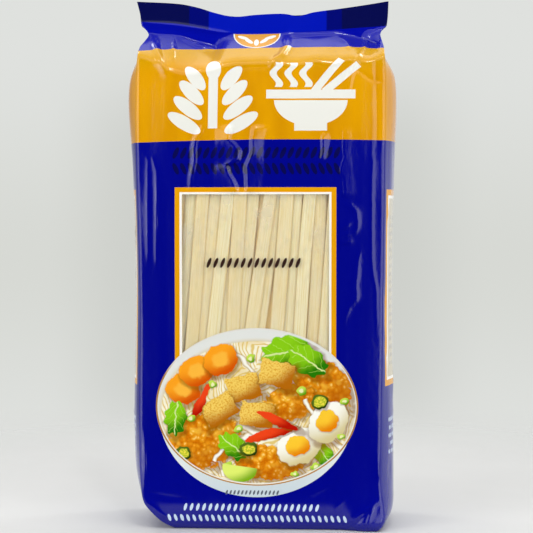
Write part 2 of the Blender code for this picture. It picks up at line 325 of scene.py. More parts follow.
def back_panel(h, places, crease_profile, sign):
    """Half of the back, from the lap seam at place 0 to a back crease at place 1."""
    x = sign * smooth_read(crease_profile, h) * places
    seam = (np.abs(x) <= SEAM_HALF_WIDTH) * (1 - ease(FIN_BASE - SEAM_HALF_WIDTH, FIN_BASE, h))
    return x, face_depth(x, h, BACK_SHOULDER) + SEAM_RISE * seam


def side_panel(h, along, crease_profile, side_profile, sign):
    """A side, tucked in between the front and the back towards the top."""
    edge = sign * smooth_read(crease_profile, h)
    front, back = face_depth(edge, h, FRONT_SHOULDER), face_depth(edge, h, BACK_SHOULDER)
    reach = sign * side_reach(crease_profile, side_profile, h, along)
    return reach, (along * (front + back) + back - front) / 2


def front_panel(h):
    """The front, whose rows bend so that one of them is the window's foot."""
    left, right = smooth_read(LEFT_CREASE, h), smooth_read(RIGHT_CREASE, h)
    into = stretch(LEFT_MARGIN, MARGIN_FACES, True, False)
    across = np.linspace(WINDOW_LEFT, WINDOW_RIGHT, WINDOW_FACES + 1)[1:-1] + 0 * h
    out = stretch(RIGHT_MARGIN, MARGIN_FACES, False, True)
    x = np.concatenate([-left + (WINDOW_LEFT + left) * into, across,
                        WINDOW_RIGHT + (right - WINDOW_RIGHT) * out], axis=1)
    bend = ease(BEND_SPAN[0], FOOT_ROW, h) * (1 - ease(FOOT_ROW, BEND_SPAN[1], h))
    bend = bend * ease(-left + BEND_MARGIN, WINDOW_LEFT, x)
    bend = bend * (1 - ease(WINDOW_RIGHT, right - BEND_MARGIN, x))
    rows = h + (window_foot(x) - FOOT_ROW) * bend
    middle, reach, rise, stand = FOOT_CORNER
    corner = stand * np.exp(-((x - middle) / reach) ** 2 - (rows / rise) ** 2)
    return x, -face_depth(x, rows, FRONT_SHOULDER) - corner, rows


def film_grid():
    """Points, print coordinates and panels of the film, as rows by columns.

    The columns run from the back seam round the left side, the front and the right side.
    """
    h = film_rows()[:, None]
    seam = np.array([0.0, 2.7, SEAM_HALF_WIDTH, SEAM_HALF_WIDTH + SEAM_LIP]) / BACK_HALF
    beside = stretch(BACK_MARGIN, BACK_FACES, False, True)[1:]
    half_back = np.concatenate([seam, seam[-1] + (1 - seam[-1]) * beside])
    along = -1 + 2 * stretch(SIDE_WIDTH, SIDE_FACES, True, True)
    parts = [("back", *back_panel(h, half_back[:-1], LEFT_CREASE, -1), h),
             ("left", *side_panel(h, -along[:-1], LEFT_CREASE, LEFT_SIDE, -1), h),
             ("front", *(a[:, :-1] for a in front_panel(h))),
             ("right", *side_panel(h, along[:-1], RIGHT_CREASE, RIGHT_SIDE, 1), h),
             ("back", *back_panel(h, half_back[::-1], RIGHT_CREASE, 1), h)]
    panels = np.concatenate([[name] * x.shape[1] for name, x, y, rows in parts])
    x = np.concatenate([x for name, x, y, rows in parts], axis=1)
    y = np.concatenate([y for name, x, y, rows in parts], axis=1)
    rows = np.concatenate([rows + 0 * x for name, x, y, rows in parts], axis=1)
    points = settled(x, y, rows)
    for _ in range(ROUNDING):
        inner = (points[:, :-2] + 2 * points[:, 1:-1] + points[:, 2:]) / 4
        points = np.concatenate([points[:, :1], inner, points[:, -1:]], axis=1)
    front = panels[:-1] == "front"
    steps = np.where(front, np.diff(x, axis=1), np.linalg.norm(np.diff(points, axis=1), axis=2))
    around = np.concatenate([np.zeros((len(h), 1)), np.cumsum(steps, axis=1)], axis=1)
    middle = np.argmin(np.where(panels == "front", np.abs(x), np.inf), axis=1)
    index = np.arange(len(h))
    u = around - around[index, middle][:, None] + x[index, middle][:, None]
    return points, u, film_height(rows), panels


def film_height(h):
    """Way up the film at the height h: the height itself, then along the gable's slope."""
    fine = np.linspace(GABLE_START, FIN_BASE, SLOPE_STEPS)
    slope = np.hypot(np.diff(fine), np.diff(face_depth(0.0, fine, FRONT_SHOULDER)))
    way = GABLE_START + np.concatenate([[0.0], np.cumsum(slope)])
    return np.where(h < GABLE_START, h, np.interp(h, fine, way) + np.maximum(h - FIN_BASE, 0.0))


# Folds of the front: the path through (u, v), how far it fades sideways, its height, below zero for a
# valley, and 1 for a sharp fold or 2 for a rounded one.
FRONT_CREASES = [
    ([(-54, 215.2), (-33.4, 214.5), (-23.9, 214.2), (-14, 213.6)], 0.8, 1.00, 1),
    ([(-34, 207.9), (-30.5, 205.6), (-27.3, 203.2), (-23.5, 202.1), (-18.6, 201.7)], 1.1, 0.90, 2),
    ([(-37.1, 208.6), (-36.6, 200.4), (-35.4, 189.9)], 0.8, 0.75, 1),
    ([(-35.2, 207.9), (-34.6, 199.2)], 0.8, -0.40, 1),
    ([(-45.8, 208.3), (-44.1, 201.5), (-42.6, 196.4), (-40.7, 190.1), (-38, 185)], 1.4, 0.90, 2),
    ([(10.6, 213), (10.6, 203), (8.6, 195.7), (5.9, 192.1), (4.2, 186)], 1.6, 1.10, 2),
    ([(32.0, 209.3), (35.2, 203.5), (36.4, 197.8)], 0.9, 0.75, 1),
    ([(12.0, 210.4), (22.0, 210.7), (31.0, 210.4)], 0.8, -0.30, 1),
    ([(50.4, 213), (47.5, 212.3), (45.6, 209.8), (43.8, 204.9), (42.4, 200.4), (40.2, 193.8), (38.2, 188.8),
      (37.0, 184.1), (35.8, 178)], 0.7, 0.80, 1),
    ([(50.0, 212.4), (49.0, 205.4), (49.2, 198.7)], 0.7, 0.60, 1),
    ([(46.8, 207.3), (47.0, 198.7)], 0.9, -0.60, 1),
    ([(39.4, 186.6), (44.9, 182.9), (49.8, 182.0)], 0.7, -0.40, 1),
    ([(47.2, 200.6), (46.8, 189.2), (47.2, 174), (47.4, 156)], 0.6, -0.30, 1),
    ([(45.3, 160), (45.1, 152), (45.6, 149), (45.2, 142), (45.3, 111.5), (45.6, 105.8), (47.2, 97.8),
      (47.4, 80)], 0.5, 0.22, 1),
    ([(-21.5, 166), (-23.8, 161.4), (-25.7, 158.9), (-26.4, 154.9), (-26.2, 149.7), (-27.4, 142.9),
      (-28.0, 137)], 1.0, 0.55, 2),
    ([(4.5, 153.6), (10, 153.2), (16, 153.4)], 1.8, -0.35, 2),
    ([(-46.8, 152.5), (-45.2, 150.4), (-45.3, 136), (-45.2, 108)], 0.7, 0.35, 1),
    ([(-45.2, 151.6), (-43.4, 151.5), (-41.7, 145.3), (-41.5, 136), (-41.8, 108)], 0.7, 0.40, 1),
    ([(34, 132.8), (36.8, 131.7), (39.1, 129.3), (39.7, 124.7), (39.1, 121.2)], 0.8, 0.42, 1),
    ([(40.6, 114), (39.9, 111.2), (39.5, 105.1), (38.9, 99.8), (39.3, 94.7), (36.4, 91.3), (34.0, 85)],
     0.8, 0.40, 1),
    ([(30.8, 122.0), (34, 123.2), (38.0, 125.6)], 0.7, 0.40, 1),
    ([(30.8, 119.2), (35.6, 120.3), (39.6, 121.6)], 0.7, 0.40, 1),
    ([(30.8, 118.2), (34, 117.2), (38.6, 117.6)], 0.7, 0.36, 1),
    ([(49.4, 13.4), (44, 9.0), (37, 4.4)], 0.6, 0.60, 1),
    ([(43.4, 9.0), (38.0, 1.6)], 0.7, -0.50, 1),
    ([(46.6, 11.0), (44.6, 6.0), (43.4, 2.0)], 0.6, 0.55, 1),
    ([(30.5, 20.0), (20.0, 14.6)], 1.0, 0.16, 2),
    ([(35.0, 14.0), (29.6, 7.4)], 0.8, 0.25, 1),
    ([(47.7, 31), (48.2, 23), (50.0, 20)], 0.7, 0.40, 1),
    ([(-46.6, 11.6), (-40.2, 6.6), (-34.5, 2.6)], 0.7, 0.50, 1),
    ([(-46.9, 40), (-46.5, 27), (-47.1, 14)], 0.7, 0.45, 1),
    ([(-46, 15), (-38, 13.4), (-30, 12.6)], 1.0, -0.16, 2),
]

# Film lifted between two edges: the left edge, the right edge and the height. It drops within PLEAT_DROP
# past its high edge, and fades at its foot and top over PLEAT_FADE.
PLEAT_DROP = 0.9
PLEAT_FADE = 3
FRONT_PLEATS = [
    ([(-18.6, 136.0), (-18.9, 145.3), (-18.4, 149.0), (-18.9, 152.2), (-18.1, 157.0), (-18.4, 165.0)],
     [(-9.0, 136.0), (-9.4, 139.4), (-10.5, 141.8), (-12.2, 144.6), (-13.2, 147.7), (-11.2, 148.5),
      (-8.4, 150.5), (-8.1, 153.9), (-10.1, 156.7), (-12.5, 158.7), (-11.3, 165.0)], 0.95),
    ([(-4.6, 136.0), (-5.0, 144.3), (-5.3, 147.3), (-2.9, 152.9), (-2.9, 159.0), (-2.0, 165.0)],
     [(1.2, 136.0), (2.2, 144.6), (2.5, 147.7), (1.9, 152.1), (2.2, 159.0), (5.6, 165.0)], -0.95),
    ([(24.6, 149.0), (25.6, 153.0), (25.4, 162.0)],
     [(27.0, 149.0), (27.4, 154.0), (28.6, 158.7), (28.6, 162.0)], -0.55),
    ([(34.4, 134.0), (34.0, 142.5), (32.7, 145.3), (33.0, 147.4), (34.4, 151.5), (33.7, 154.2),
      (34.0, 164.0)],
     [(39.9, 134.0), (39.9, 164.0)], -0.32),
]

# Chance folds of the sides and of the back's halves: how many, their u on either side and their height.
FOLD_SEED = 7
FOLD_SPAN = (8, 196)
PANEL_FOLDS = [(("left", "right"), 26, (54, 94), 0.45), (("back",), 14, (100, 136), 0.35)]

# Each chance fold's slant, reach, width and share of the height, drawn from these ranges. It slants less
# in its lower half.
FOLD_LEAN = (-7, 7)
FOLD_REACH = (6, 24)
FOLD_WIDTH = (0.8, 2.2)
FOLD_SHARE = (0.4, 1.0)
LOWER_LEAN = 0.4

# Soft unevenness all over the film: a seed, its height, and its size round the pack and up it.
FILM_LUMPS = [(1, 0.16, 19.0, 30.0), (2, 0.07, 6.5, 18.0), (3, 0.07, 3.4, 60.0)]

# The relief sinks to a share of itself from below the seal's root to above it, and starts at the foot.
CALM_SPAN = (-4, 6)
SEAL_SHARE = 0.15
FOOT_SPAN = (-2.0, 3.0)


def chance_folds(rng, number, u_range, v_range, height):
    """Short slanting folds, strewn over a panel."""
    folds = []
    for _ in range(number):
        u, v = rng.uniform(*u_range), rng.uniform(*v_range)
        lean, reach = rng.uniform(*FOLD_LEAN), rng.uniform(*FOLD_REACH)
        path = [(u, v), (u + lean * LOWER_LEAN, v + reach / 2), (u + lean, v + reach)]
        width = rng.uniform(*FOLD_WIDTH)
        folds.append((path, width, rng.choice((-1, 1)) * rng.uniform(*FOLD_SHARE) * height))
    return folds


def relief(u, v, panels):
    """How far the film stands out from its smooth form, in millimetres."""
    def on(*names):
        return np.isin(panels, names)[None, :] * np.ones(u.shape)
    rng = random.Random(FOLD_SEED)
    front = on("front")
    out = sum(height * lumps(seed, u, v, wide, tall) for seed, height, wide, tall in FILM_LUMPS)
    for path, width, height, power in FRONT_CREASES:
        out = out + front * crease(u, v, path, width, height, power)
    for left, right, height in FRONT_PLEATS:
        out = out + front * pleat(u, v, left, right, height)
    for sign in (-1, 1):
        for names, number, span, most in PANEL_FOLDS:
            for path, width, height in chance_folds(rng, number, span, FOLD_SPAN, most):
                out = out + on(*names) * crease(u, v, [(sign * a, b) for a, b in path], width, height)
    root = film_height(np.array(FIN_BASE))
    full = 1 - ease(root + CALM_SPAN[0], root + CALM_SPAN[1], v)
    return out * (SEAL_SHARE + (1 - SEAL_SHARE) * full) * ease(*FOOT_SPAN, v)


def outward(points):
    """Outward normals of a grid of points whose columns close into a ring."""
    across = np.empty_like(points)
    across[:, 1:-1] = points[:, 2:] - points[:, :-2]
    across[:, 0] = across[:, -1] = points[:, 1] - points[:, -2]
    up = np.gradient(points, axis=0)
    normal = np.cross(across, up)
    return normal / np.maximum(np.linalg.norm(normal, axis=2, keepdims=True), 1e-9)


def new_object(name, verts, faces, layer_name=None, coords=None):
    """A smooth mesh in the scene; verts, and coords for a UV map, are millimetres for each vertex."""
    mesh = bpy.data.meshes.new(name)
    mesh.from_pydata((verts * MM).tolist(), [], faces)
    if layer_name:
        corners = np.empty(len(mesh.loops), np.int32)
        mesh.loops.foreach_get("vertex_index", corners)
        layer = mesh.uv_layers.new(name=layer_name)
        layer.data.foreach_set("uv", (coords[corners] * MM).astype(np.float32).reshape(-1))
    mesh.shade_smooth()
    obj = bpy.data.objects.new(name, mesh)
    bpy.context.scene.collection.objects.link(obj)
    return obj


def grid_object(name, points, u, v, faces):
    """An object of the named faces of a grid, with the print coordinates as its UV map."""
    used = np.unique(faces)
    renumber = np.full(u.size, -1)
    renumber[used] = np.arange(len(used))
    coords = np.stack([u.reshape(-1)[used], v.reshape(-1)[used]], axis=1)
    return new_object(name, points.reshape(-1, 3)[used], renumber[faces].tolist(), "print", coords)


# The folded bottom: outlines (x, y) of the front flap and of the tucked sides, and how far up they lie.
FOLD_EDGE = -4.5
FOLD_LINE = (-26.5, 33.0)
BOTTOM_FLAPS = [
    ([(-31.0, -17.5), (42.5, -17.5), (35.0, FOLD_EDGE), (-26.5, FOLD_EDGE)], 0.5),
    ([(-40.0, -10.5), (-26.5, 0.0), (-40.0, 10.5)], 1.0),
    ([(46.5, -11.5), (46.5, 11.5), (30.0, 0.0)], 1.0),
]
FLAP_EDGE = 0.5
CAP_REACH = 0.99


def inside(outline, x, y):
    """How far a point lies inside a convex outline given anticlockwise; below zero outside it."""
    depth = np.full(x.shape, np.inf)
    for (ax, ay), (bx, by) in zip(outline, outline[1:] + outline[:1]):
        length = math.hypot(bx - ax, by - ay)
        depth = np.minimum(depth, ((bx - ax) * (y - ay) - (by - ay) * (x - ax)) / length)
    return depth


def bottom_rings(ring, u):
    """The bottom film, from its outer ring in to the fold line, with its flaps a little higher."""
    target = np.stack([np.clip(ring[:, 0], *FOLD_LINE), np.full(len(ring), FOLD_EDGE), 0 * u], axis=1)
    rings, along = [], []
    for k in range(1, CAP_RINGS + 1):
        t = CAP_REACH * k / CAP_RINGS
        points = ring + (target - ring) * t
        rise = np.zeros(len(ring))
        for outline, height in BOTTOM_FLAPS:
            rise = np.maximum(rise, height * ease(-FLAP_EDGE, FLAP_EDGE, inside(outline, *points.T[:2])))
        points[:, 2] = rise
        rings.append(points)
        along.append(-np.linalg.norm(points - ring, axis=1))
    return np.array(rings[::-1]), np.array(along[::-1])


# How far from the back's middle the relief starts to fade and has gone. The bowl's print starts above the
# lowest rows and ends this far above its rim.
SEAM_CALM = (9, 1.5)
ROWS_UNDER_BOWL = 12
ABOVE_BOWL = 4


def build_film():
    """The printed film and the clear film of its window, which share the window's edge."""
    points, u, v, panels = film_grid()
    rows = film_rows()
    far = np.abs(u).max(axis=1, keepdims=True)
    meet = 1 - ease(far - SEAM_CALM[0], far - SEAM_CALM[1], np.abs(u))
    points = points + outward(points) * (relief(u, v, panels) * meet)[:, :, None]
    rings, along = bottom_rings(points[0], u[0])
    count = len(rings)
    points = np.concatenate([rings, points])
    u = np.concatenate([np.repeat(u[:1], count, axis=0), u])
    v = np.concatenate([along, v])
    number = np.arange(points.shape[0] * points.shape[1]).reshape(points.shape[:2])
    faces = np.stack([number[:-1, :-1], number[:-1, 1:], number[1:, 1:], number[1:, :-1]], axis=2)
    first = np.argmax(panels == "front") + CREASE_FACES + MARGIN_FACES
    low = count + np.argmin(np.abs(rows - FOOT_ROW))
    high = count + np.argmin(np.abs(rows - WINDOW_TOP))
    clear = np.zeros(faces.shape[:2], bool)
    clear[low:high, first:first + WINDOW_FACES] = True
    part = 1 + np.searchsorted(ART_EDGES, (u[:-1, :-1] + u[:-1, 1:]) / 2)
    part = np.where(v[:-1, :-1] < BOWL_Z + BOWL_RZ + ABOVE_BOWL, part, 1)
    part[:count + ROWS_UNDER_BOWL] = 1
    kind = np.where(panels[:-1] == "front", part, 0)
    printed = grid_object("printed_film", points, u, v, faces[~clear])
    printed.data.polygons.foreach_set("material_index", kind[~clear].astype(np.int32))
    window = grid_object("window_film", points, u, v, faces[clear])
    bm = bmesh.new()
    bm.from_mesh(printed.data)
    bmesh.ops.remove_doubles(bm, verts=bm.verts, dist=1e-7)
    bm.to_mesh(printed.data)
    bm.free()
    return printed, window


# ---------------------------------------------------------------- the noodles

NOODLE_WIDTH = 5.3
NOODLE_THICKNESS = 0.75
NOODLE_BEVEL = 0.2
NOODLE_LEAN = math.radians(5.2)
NOODLE_FOOT = 14.0
NOODLE_TOP = 184.0
NOODLE_STEPS = 64
NOODLE_PITCH = 5.5
NOODLE_SEED = 12
NOODLE_REACH = 42.5
SHARP_ANGLE = math.radians(50)
UV_PITCH = 20.0

# The noodles right behind the window: x at the two heights of NOODLE_LEVELS. By turns they lie at the first
# and the second of FRONT_DEPTHS behind the film, so that each overlaps its neighbours or leaves a gap.
NOODLE_LEVELS = (84.0, 134.0)
FRONT_DEPTHS = (1.45, 2.28)
FRONT_NOODLES = [
    (-37.0, -33.8), (-32.0, -27.4), (-27.0, -22.8), (-22.3, -17.9), (-18.0, -13.2), (-13.2, -9.2),
    (-10.4, -8.0), (-7.5, -3.0), (-2.7, 3.9), (0.3, 7.4), (7.1, 11.0), (11.4, 14.6), (16.4, 20.4),
    (21.8, 24.5), (26.6, 30.6), (32.4, 36.2), (37.6, 41.0),
]
LAYER_DEPTHS = (3.1, 4.0, 5.0)
LAYER_SHIFT = 0.37

# How noodles differ, drawn from ranges: how far they end inside their foot and top, their sway, turn and
# twist, the lengths of sway and twist, and their size. All wave a little in depth.
FOOT_RANGE = (0, 4)
TOP_RANGE = (0, 5)
SWAY, SWAY_LENGTH = (0.1, 0.3), (14, 24)
TURN = (-0.05, 0.05)
TWIST, TWIST_LENGTH = (0.02, 0.06), (18, 34)
WAVE, WAVE_LENGTH = 0.08, 21
SIZE_RANGE = (0.96, 1.04)

# The deeper layers: how far inside NOODLE_REACH they start and end, and the ranges of lean and pitch.
DEEP_MARGINS = (3, 2)
LEAN_RANGE = (0.72, 1.3)
PITCH_RANGE = (-0.35, 0.5)


def noodle_section():
    """Outline (across, through) of a flat noodle with rounded edges, anticlockwise."""
    w, t, b = NOODLE_WIDTH / 2, NOODLE_THICKNESS / 2, NOODLE_BEVEL
    return np.array([(-w, t - b), (-w, b - t), (b - w, -t), (0, -t * 1.06), (w - b, -t), (w, b - t),
                     (w, t - b), (w - b, t), (b - w, t)])


def noodle(rng, low_x, high_x, depth):
    """Points of one noodle that stands behind the front film."""
    t = np.linspace(0.0, 1.0, NOODLE_STEPS + 1)
    foot, top = NOODLE_FOOT + rng.uniform(*FOOT_RANGE), NOODLE_TOP - rng.uniform(*TOP_RANGE)
    z = foot + (top - foot) * t
    low, high = NOODLE_LEVELS
    phase = rng.uniform(0, math.tau)
    sway = rng.uniform(*SWAY) * np.sin(phase + z / rng.uniform(*SWAY_LENGTH))
    x = np.clip(low_x + (high_x - low_x) * (z - low) / (high - low) + sway, -NOODLE_REACH, NOODLE_REACH)
    turn = rng.uniform(*TURN)
    roll = turn + rng.uniform(*TWIST) * np.sin(phase + z / rng.uniform(*TWIST_LENGTH))
    y = depth + WAVE * np.sin(phase * 2 + z / WAVE_LENGTH) - face_depth(x, z, FRONT_SHOULDER)
    across, through = noodle_section().T
    size = rng.uniform(*SIZE_RANGE)
    px = x[:, None] + size * across * np.cos(roll)[:, None] - through * np.sin(roll)[:, None]
    py = y[:, None] + size * across * np.sin(roll)[:, None] + through * np.cos(roll)[:, None]
    return np.stack([px, py, z[:, None] + 0 * px], axis=2)


def deep_noodles(rng):
    """Places of the noodles in the layers behind the ones that show, which lean alike but not quite."""
    low, high = NOODLE_LEVELS
    for layer, depth in enumerate(LAYER_DEPTHS):
        x = -NOODLE_REACH + DEEP_MARGINS[0] + NOODLE_PITCH * LAYER_SHIFT * layer
        while x < NOODLE_REACH - DEEP_MARGINS[1]:
            lean = math.tan(NOODLE_LEAN * rng.uniform(*LEAN_RANGE))
            middle = (NOODLE_FOOT + NOODLE_TOP) / 2
            yield x + lean * (low - middle), x + lean * (high - middle), depth
            x += NOODLE_PITCH + rng.uniform(*PITCH_RANGE)


def tube(index):
    """Faces round a tube whose points are numbered in rings, and the faces that close its ends."""
    turned = np.roll(index, -1, axis=1)
    around = np.stack([index[:-1], turned[:-1], turned[1:], index[1:]], axis=2).reshape(-1, 4)
    return around.tolist(), [index[0][::-1].tolist(), index[-1].tolist()]


def build_noodles():
    """The noodles behind the window, the first two layers pale and the deeper ones warmer, a painted glow of
    light in the shade behind.
    """
    rng = random.Random(NOODLE_SEED)
    section = noodle_section()
    index = np.arange((NOODLE_STEPS + 1) * len(section)).reshape(-1, len(section))
    places = [(*ends, FRONT_DEPTHS[k % 2]) for k, ends in enumerate(FRONT_NOODLES)]
    verts, coords, faces, caps, painted_glow = [], [], [], [], []
    for number, place in enumerate(places + list(deep_noodles(rng))):
        points = noodle(rng, *place)
        across = np.tile(section[:, 0] + number * UV_PITCH, (len(points), 1))
        verts.append(points.reshape(-1, 3))
        coords.append(np.stack([across, points[:, :, 2]], axis=2).reshape(-1, 2))
        around, ends = tube(index + number * index.size)
        faces += around
        caps += ends
        painted_glow += [number >= len(FRONT_NOODLES)] * len(around)
    obj = new_object("noodles", np.concatenate(verts), faces + caps, "strand", np.concatenate(coords))
    obj.data.polygons.foreach_set("material_index", np.array(painted_glow + [False] * len(caps), np.int32))
    obj.data.set_sharp_from_angle(angle=SHARP_ANGLE)
    return obj


# The core: half its width and depth, its foot and top, its rows and columns, and how much and how late it
# narrows towards its ends. A low power makes it nearly square, and it is ribbed like packed noodles.
CORE_HALF = (43.0, 15.5)
CORE_SPAN = (6.0, 186.0)
CORE_DIVISION = (90, 200)
CORE_TAPER = 0.45
CORE_TAPER_POWER = 14
CORE_POWER = 0.3
CORE_SEED = 21
CORE_RIBS = (0.5, 1.7, 60.0)


def build_core():
    """The rest of the bundle, a block of packed noodles behind the ones that show."""
    rows, columns = CORE_DIVISION
    t = np.linspace(0, 1, rows)[:, None]
    turn = np.linspace(0, math.tau, columns, endpoint=False)[None, :]
    taper = 1 - CORE_TAPER * np.abs(2 * t - 1) ** CORE_TAPER_POWER
    c, s = np.cos(turn), np.sin(turn)
    x = CORE_HALF[0] * np.sign(c) * np.abs(c) ** CORE_POWER * taper
    y = CORE_HALF[1] * np.sign(s) * np.abs(s) ** CORE_POWER * taper
    z = CORE_SPAN[0] + (CORE_SPAN[1] - CORE_SPAN[0]) * t + 0 * x
    height, wide, tall = CORE_RIBS
    bump = height * lumps(CORE_SEED, x - z * math.tan(NOODLE_LEAN), z, wide, tall)
    points = np.stack([x, y + bump * np.sign(s), z], axis=2)
    around, ends = tube(np.arange(rows * columns).reshape(rows, columns))
    return new_object("noodle_core", points.reshape(-1, 3), around + ends)


# ---------------------------------------------------------------- material nodes


def ink(red, green, blue):
    """A display colour, 0 to 255, as the linear colour that shaders use."""
    def linear(value):
        c = value / 255
        return c / 12.92 if c <= 0.04045 else ((c + 0.055) / 1.055) ** 2.4
    return (linear(red), linear(green), linear(blue), 1.0)


class Net:
    """A node tree that is written one call at a time; each call returns the socket that it makes."""

    def __init__(self, tree):
        self.tree = tree
        self.tree.nodes.clear()

    def node(self, kind, values=(), out=0, **settings):
        node = self.tree.nodes.new(kind)
        for key, value in settings.items():
            setattr(node, key, value)
        for slot, value in dict(values).items():
            self.put(node.inputs[slot], value)
        return node.outputs[out] if node.outputs else None

    def put(self, socket, value):
        if isinstance(value, bpy.types.NodeSocket):
            self.tree.links.new(value, socket)
        else:
            socket.default_value = value

    def math(self, operation, a, b=0.0, c=0.0):
        return self.node("ShaderNodeMath", {0: a, 1: b, 2: c}, operation=operation)

    times = partialmethod(math, "MULTIPLY")
    plus = partialmethod(math, "ADD")
    minus = partialmethod(math, "SUBTRACT")
    over = partialmethod(math, "DIVIDE")
    times_plus = partialmethod(math, "MULTIPLY_ADD")
    size = partialmethod(math, "ABSOLUTE")
    above = partialmethod(math, "GREATER_THAN")
    below = partialmethod(math, "LESS_THAN")
    highest = partialmethod(math, "MAXIMUM")
    lowest = partialmethod(math, "MINIMUM")
    whole = partialmethod(math, "FLOOR")
    rest = partialmethod(math, "FRACT")
    sine = partialmethod(math, "SINE")

    def vector(self, operation, a, b=(0, 0, 0)):
        out = 1 if operation in ("LENGTH", "DISTANCE", "DOT_PRODUCT") else 0
        return self.node("ShaderNodeVectorMath", {0: a, 1: b}, out, operation=operation)

    def join(self, x, y):
        return self.node("ShaderNodeCombineXYZ", {0: x, 1: y})

    def parts(self, vector):
        node = self.tree.nodes.new("ShaderNodeSeparateXYZ")
        self.put(node.inputs[0], vector)
        return node.outputs

    def step(self, value, start, end, low=0.0, high=1.0):
        """Value turned from low at start to high at end, smoothly."""
        values = {"Value": value, "From Min": start, "From Max": end, "To Min": low, "To Max": high}
        return self.node("ShaderNodeMapRange", values, interpolation_type="SMOOTHSTEP")

    def mix(self, share, base, over):
        """Two colours mixed by a share from 0 to 1."""
        node = self.tree.nodes.new("ShaderNodeMix")
        node.data_type = "RGBA"
        for slot, value in ((0, share), (6, base), (7, over)):
            self.put(node.inputs[slot], value)
        return node.outputs[2]

    def blend(self, share, base, over):
        """Two shaders mixed by a share from 0 to 1."""
        return self.node("ShaderNodeMixShader", {0: share, 1: base, 2: over})

    def place_on(self, layer):
        """The place on a UV map, in millimetres."""
        return self.vector("MULTIPLY", self.node("ShaderNodeUVMap", uv_map=layer), (1000, 1000, 0))

    def frame(self, place, x, z, angle=0.0, size=(1.0, 1.0)):
        """The place in a shape's own axes: moved, turned and scaled to it."""
        values = {"Vector": place, "Location": (x, z, 0), "Rotation": (0, 0, math.radians(angle)),
                  "Scale": (*size, 1)}
        return self.node("ShaderNodeMapping", values, vector_type="TEXTURE")

    def disc(self, place, x, z, rx, rz, angle=0.0):
        """One on the rim of an ellipse, less inside it and more outside."""
        return self.vector("LENGTH", self.frame(place, x, z, angle, (rx, rz)))

    def box(self, place, x, z, half_x, half_z, angle=0.0):
        """One on the edge of a rectangle, less inside it and more outside."""
        local = self.vector("ABSOLUTE", self.frame(place, x, z, angle, (half_x, half_z)))
        x_part, z_part, _ = self.parts(local)
        return self.highest(x_part, z_part)

    def within(self, field, edge=0.0, limit=1.0):
        """One where a field is below its limit, with an edge of that softness."""
        if edge == 0.0:
            return self.below(field, limit)
        return self.step(field, limit + edge, limit - edge)

    def any_of(self, masks):
        """One where any of the masks is one."""
        total = masks[0]
        for mask in masks[1:]:
            total = self.highest(total, mask)
        return total

    def noise(self, place, scale, detail=2.0, roughness=0.5, rise=1.0, out=0):
        """Soft noise, drawn out upwards where rise is below one."""
        if rise != 1.0:
            place = self.vector("MULTIPLY", place, (1.0, rise, 1.0))
        values = {"Vector": place, "Scale": scale, "Detail": detail, "Roughness": roughness}
        return self.node("ShaderNodeTexNoise", values, out)

    def chance(self, slot, value, dimensions):
        return self.node("ShaderNodeTexWhiteNoise", {slot: value}, noise_dimensions=dimensions)

    def bump(self, strength, distance, height):
        return self.node("ShaderNodeBump", {"Strength": strength, "Distance": distance, "Height": height})

    def surface(self, colour, roughness, more=()):
        values = {"Base Color": colour, "Roughness": roughness, **dict(more)}
        return self.node("ShaderNodeBsdfPrincipled", values)


def new_material(name):
    material = bpy.data.materials.new(name)
    material.use_nodes = True
    return material, Net(material.node_tree)


# ---------------------------------------------------------------- the print on the film

BLUE = ink(0, 4, 134)
# A lighter blue for the shoulder: painted light where it turns up to the lamps.
SHOULDER_BLUE_PAINTED_LIGHT = ink(0, 8, 156)
# A brighter blue for the seal than for the film: painted light where the seal catches the light from above.
SEAL_BLUE_PAINTED_LIGHT = ink(0, 19, 170)
SEAL_DEEP = ink(0, 6, 108)
SEAL_NAVY = ink(4, 8, 72)
NAVY = ink(8, 8, 62)
PALE_BLUE = ink(196, 214, 236)
ORANGE = ink(207, 141, 0)
PALE_ORANGE = ink(219, 154, 0)
# A yellower, less red orange for the band's top: painted sheen and shade where the shoulder turns up to the
# light.
TOP_ORANGE_PAINTED_SHEEN_AND_SHADE = ink(202, 151, 0)
FRAME_ORANGE = ink(230, 160, 6)
WHITE = ink(228, 228, 220)
FRAME_WHITE = ink(250, 248, 238)
PANEL = ink(208, 200, 174)
FINE_GREY = ink(176, 174, 166)

# The orange band, whose lines bend down at their ends: the middle of the bend and how strong it is.
BAND_FOOT = 158.5
BAND_TOP = 202.2
FOOT_BOW = (12.0, 0.0003)
TOP_BOW = (5.0, 0.0017)
BAND_REACH = 50.0
BAND_STREAKS = (0.09, 0.2)

# The end seal, and where it has more layers of film: beyond the left and the right u of each.
SEAL_ROOT = float(film_height(np.array(FIN_BASE)))
SEAL_LAYERS = [(-22.0, 26.3), (-30.2, 32.6)]
LAYER_EDGE = 0.8


def bowed(net, u, v, bow):
    """Way up the film to a printed line that bends down at its ends."""
    off = net.minus(u, bow[0])
    return net.times_plus(net.times(off, off), bow[1], v)


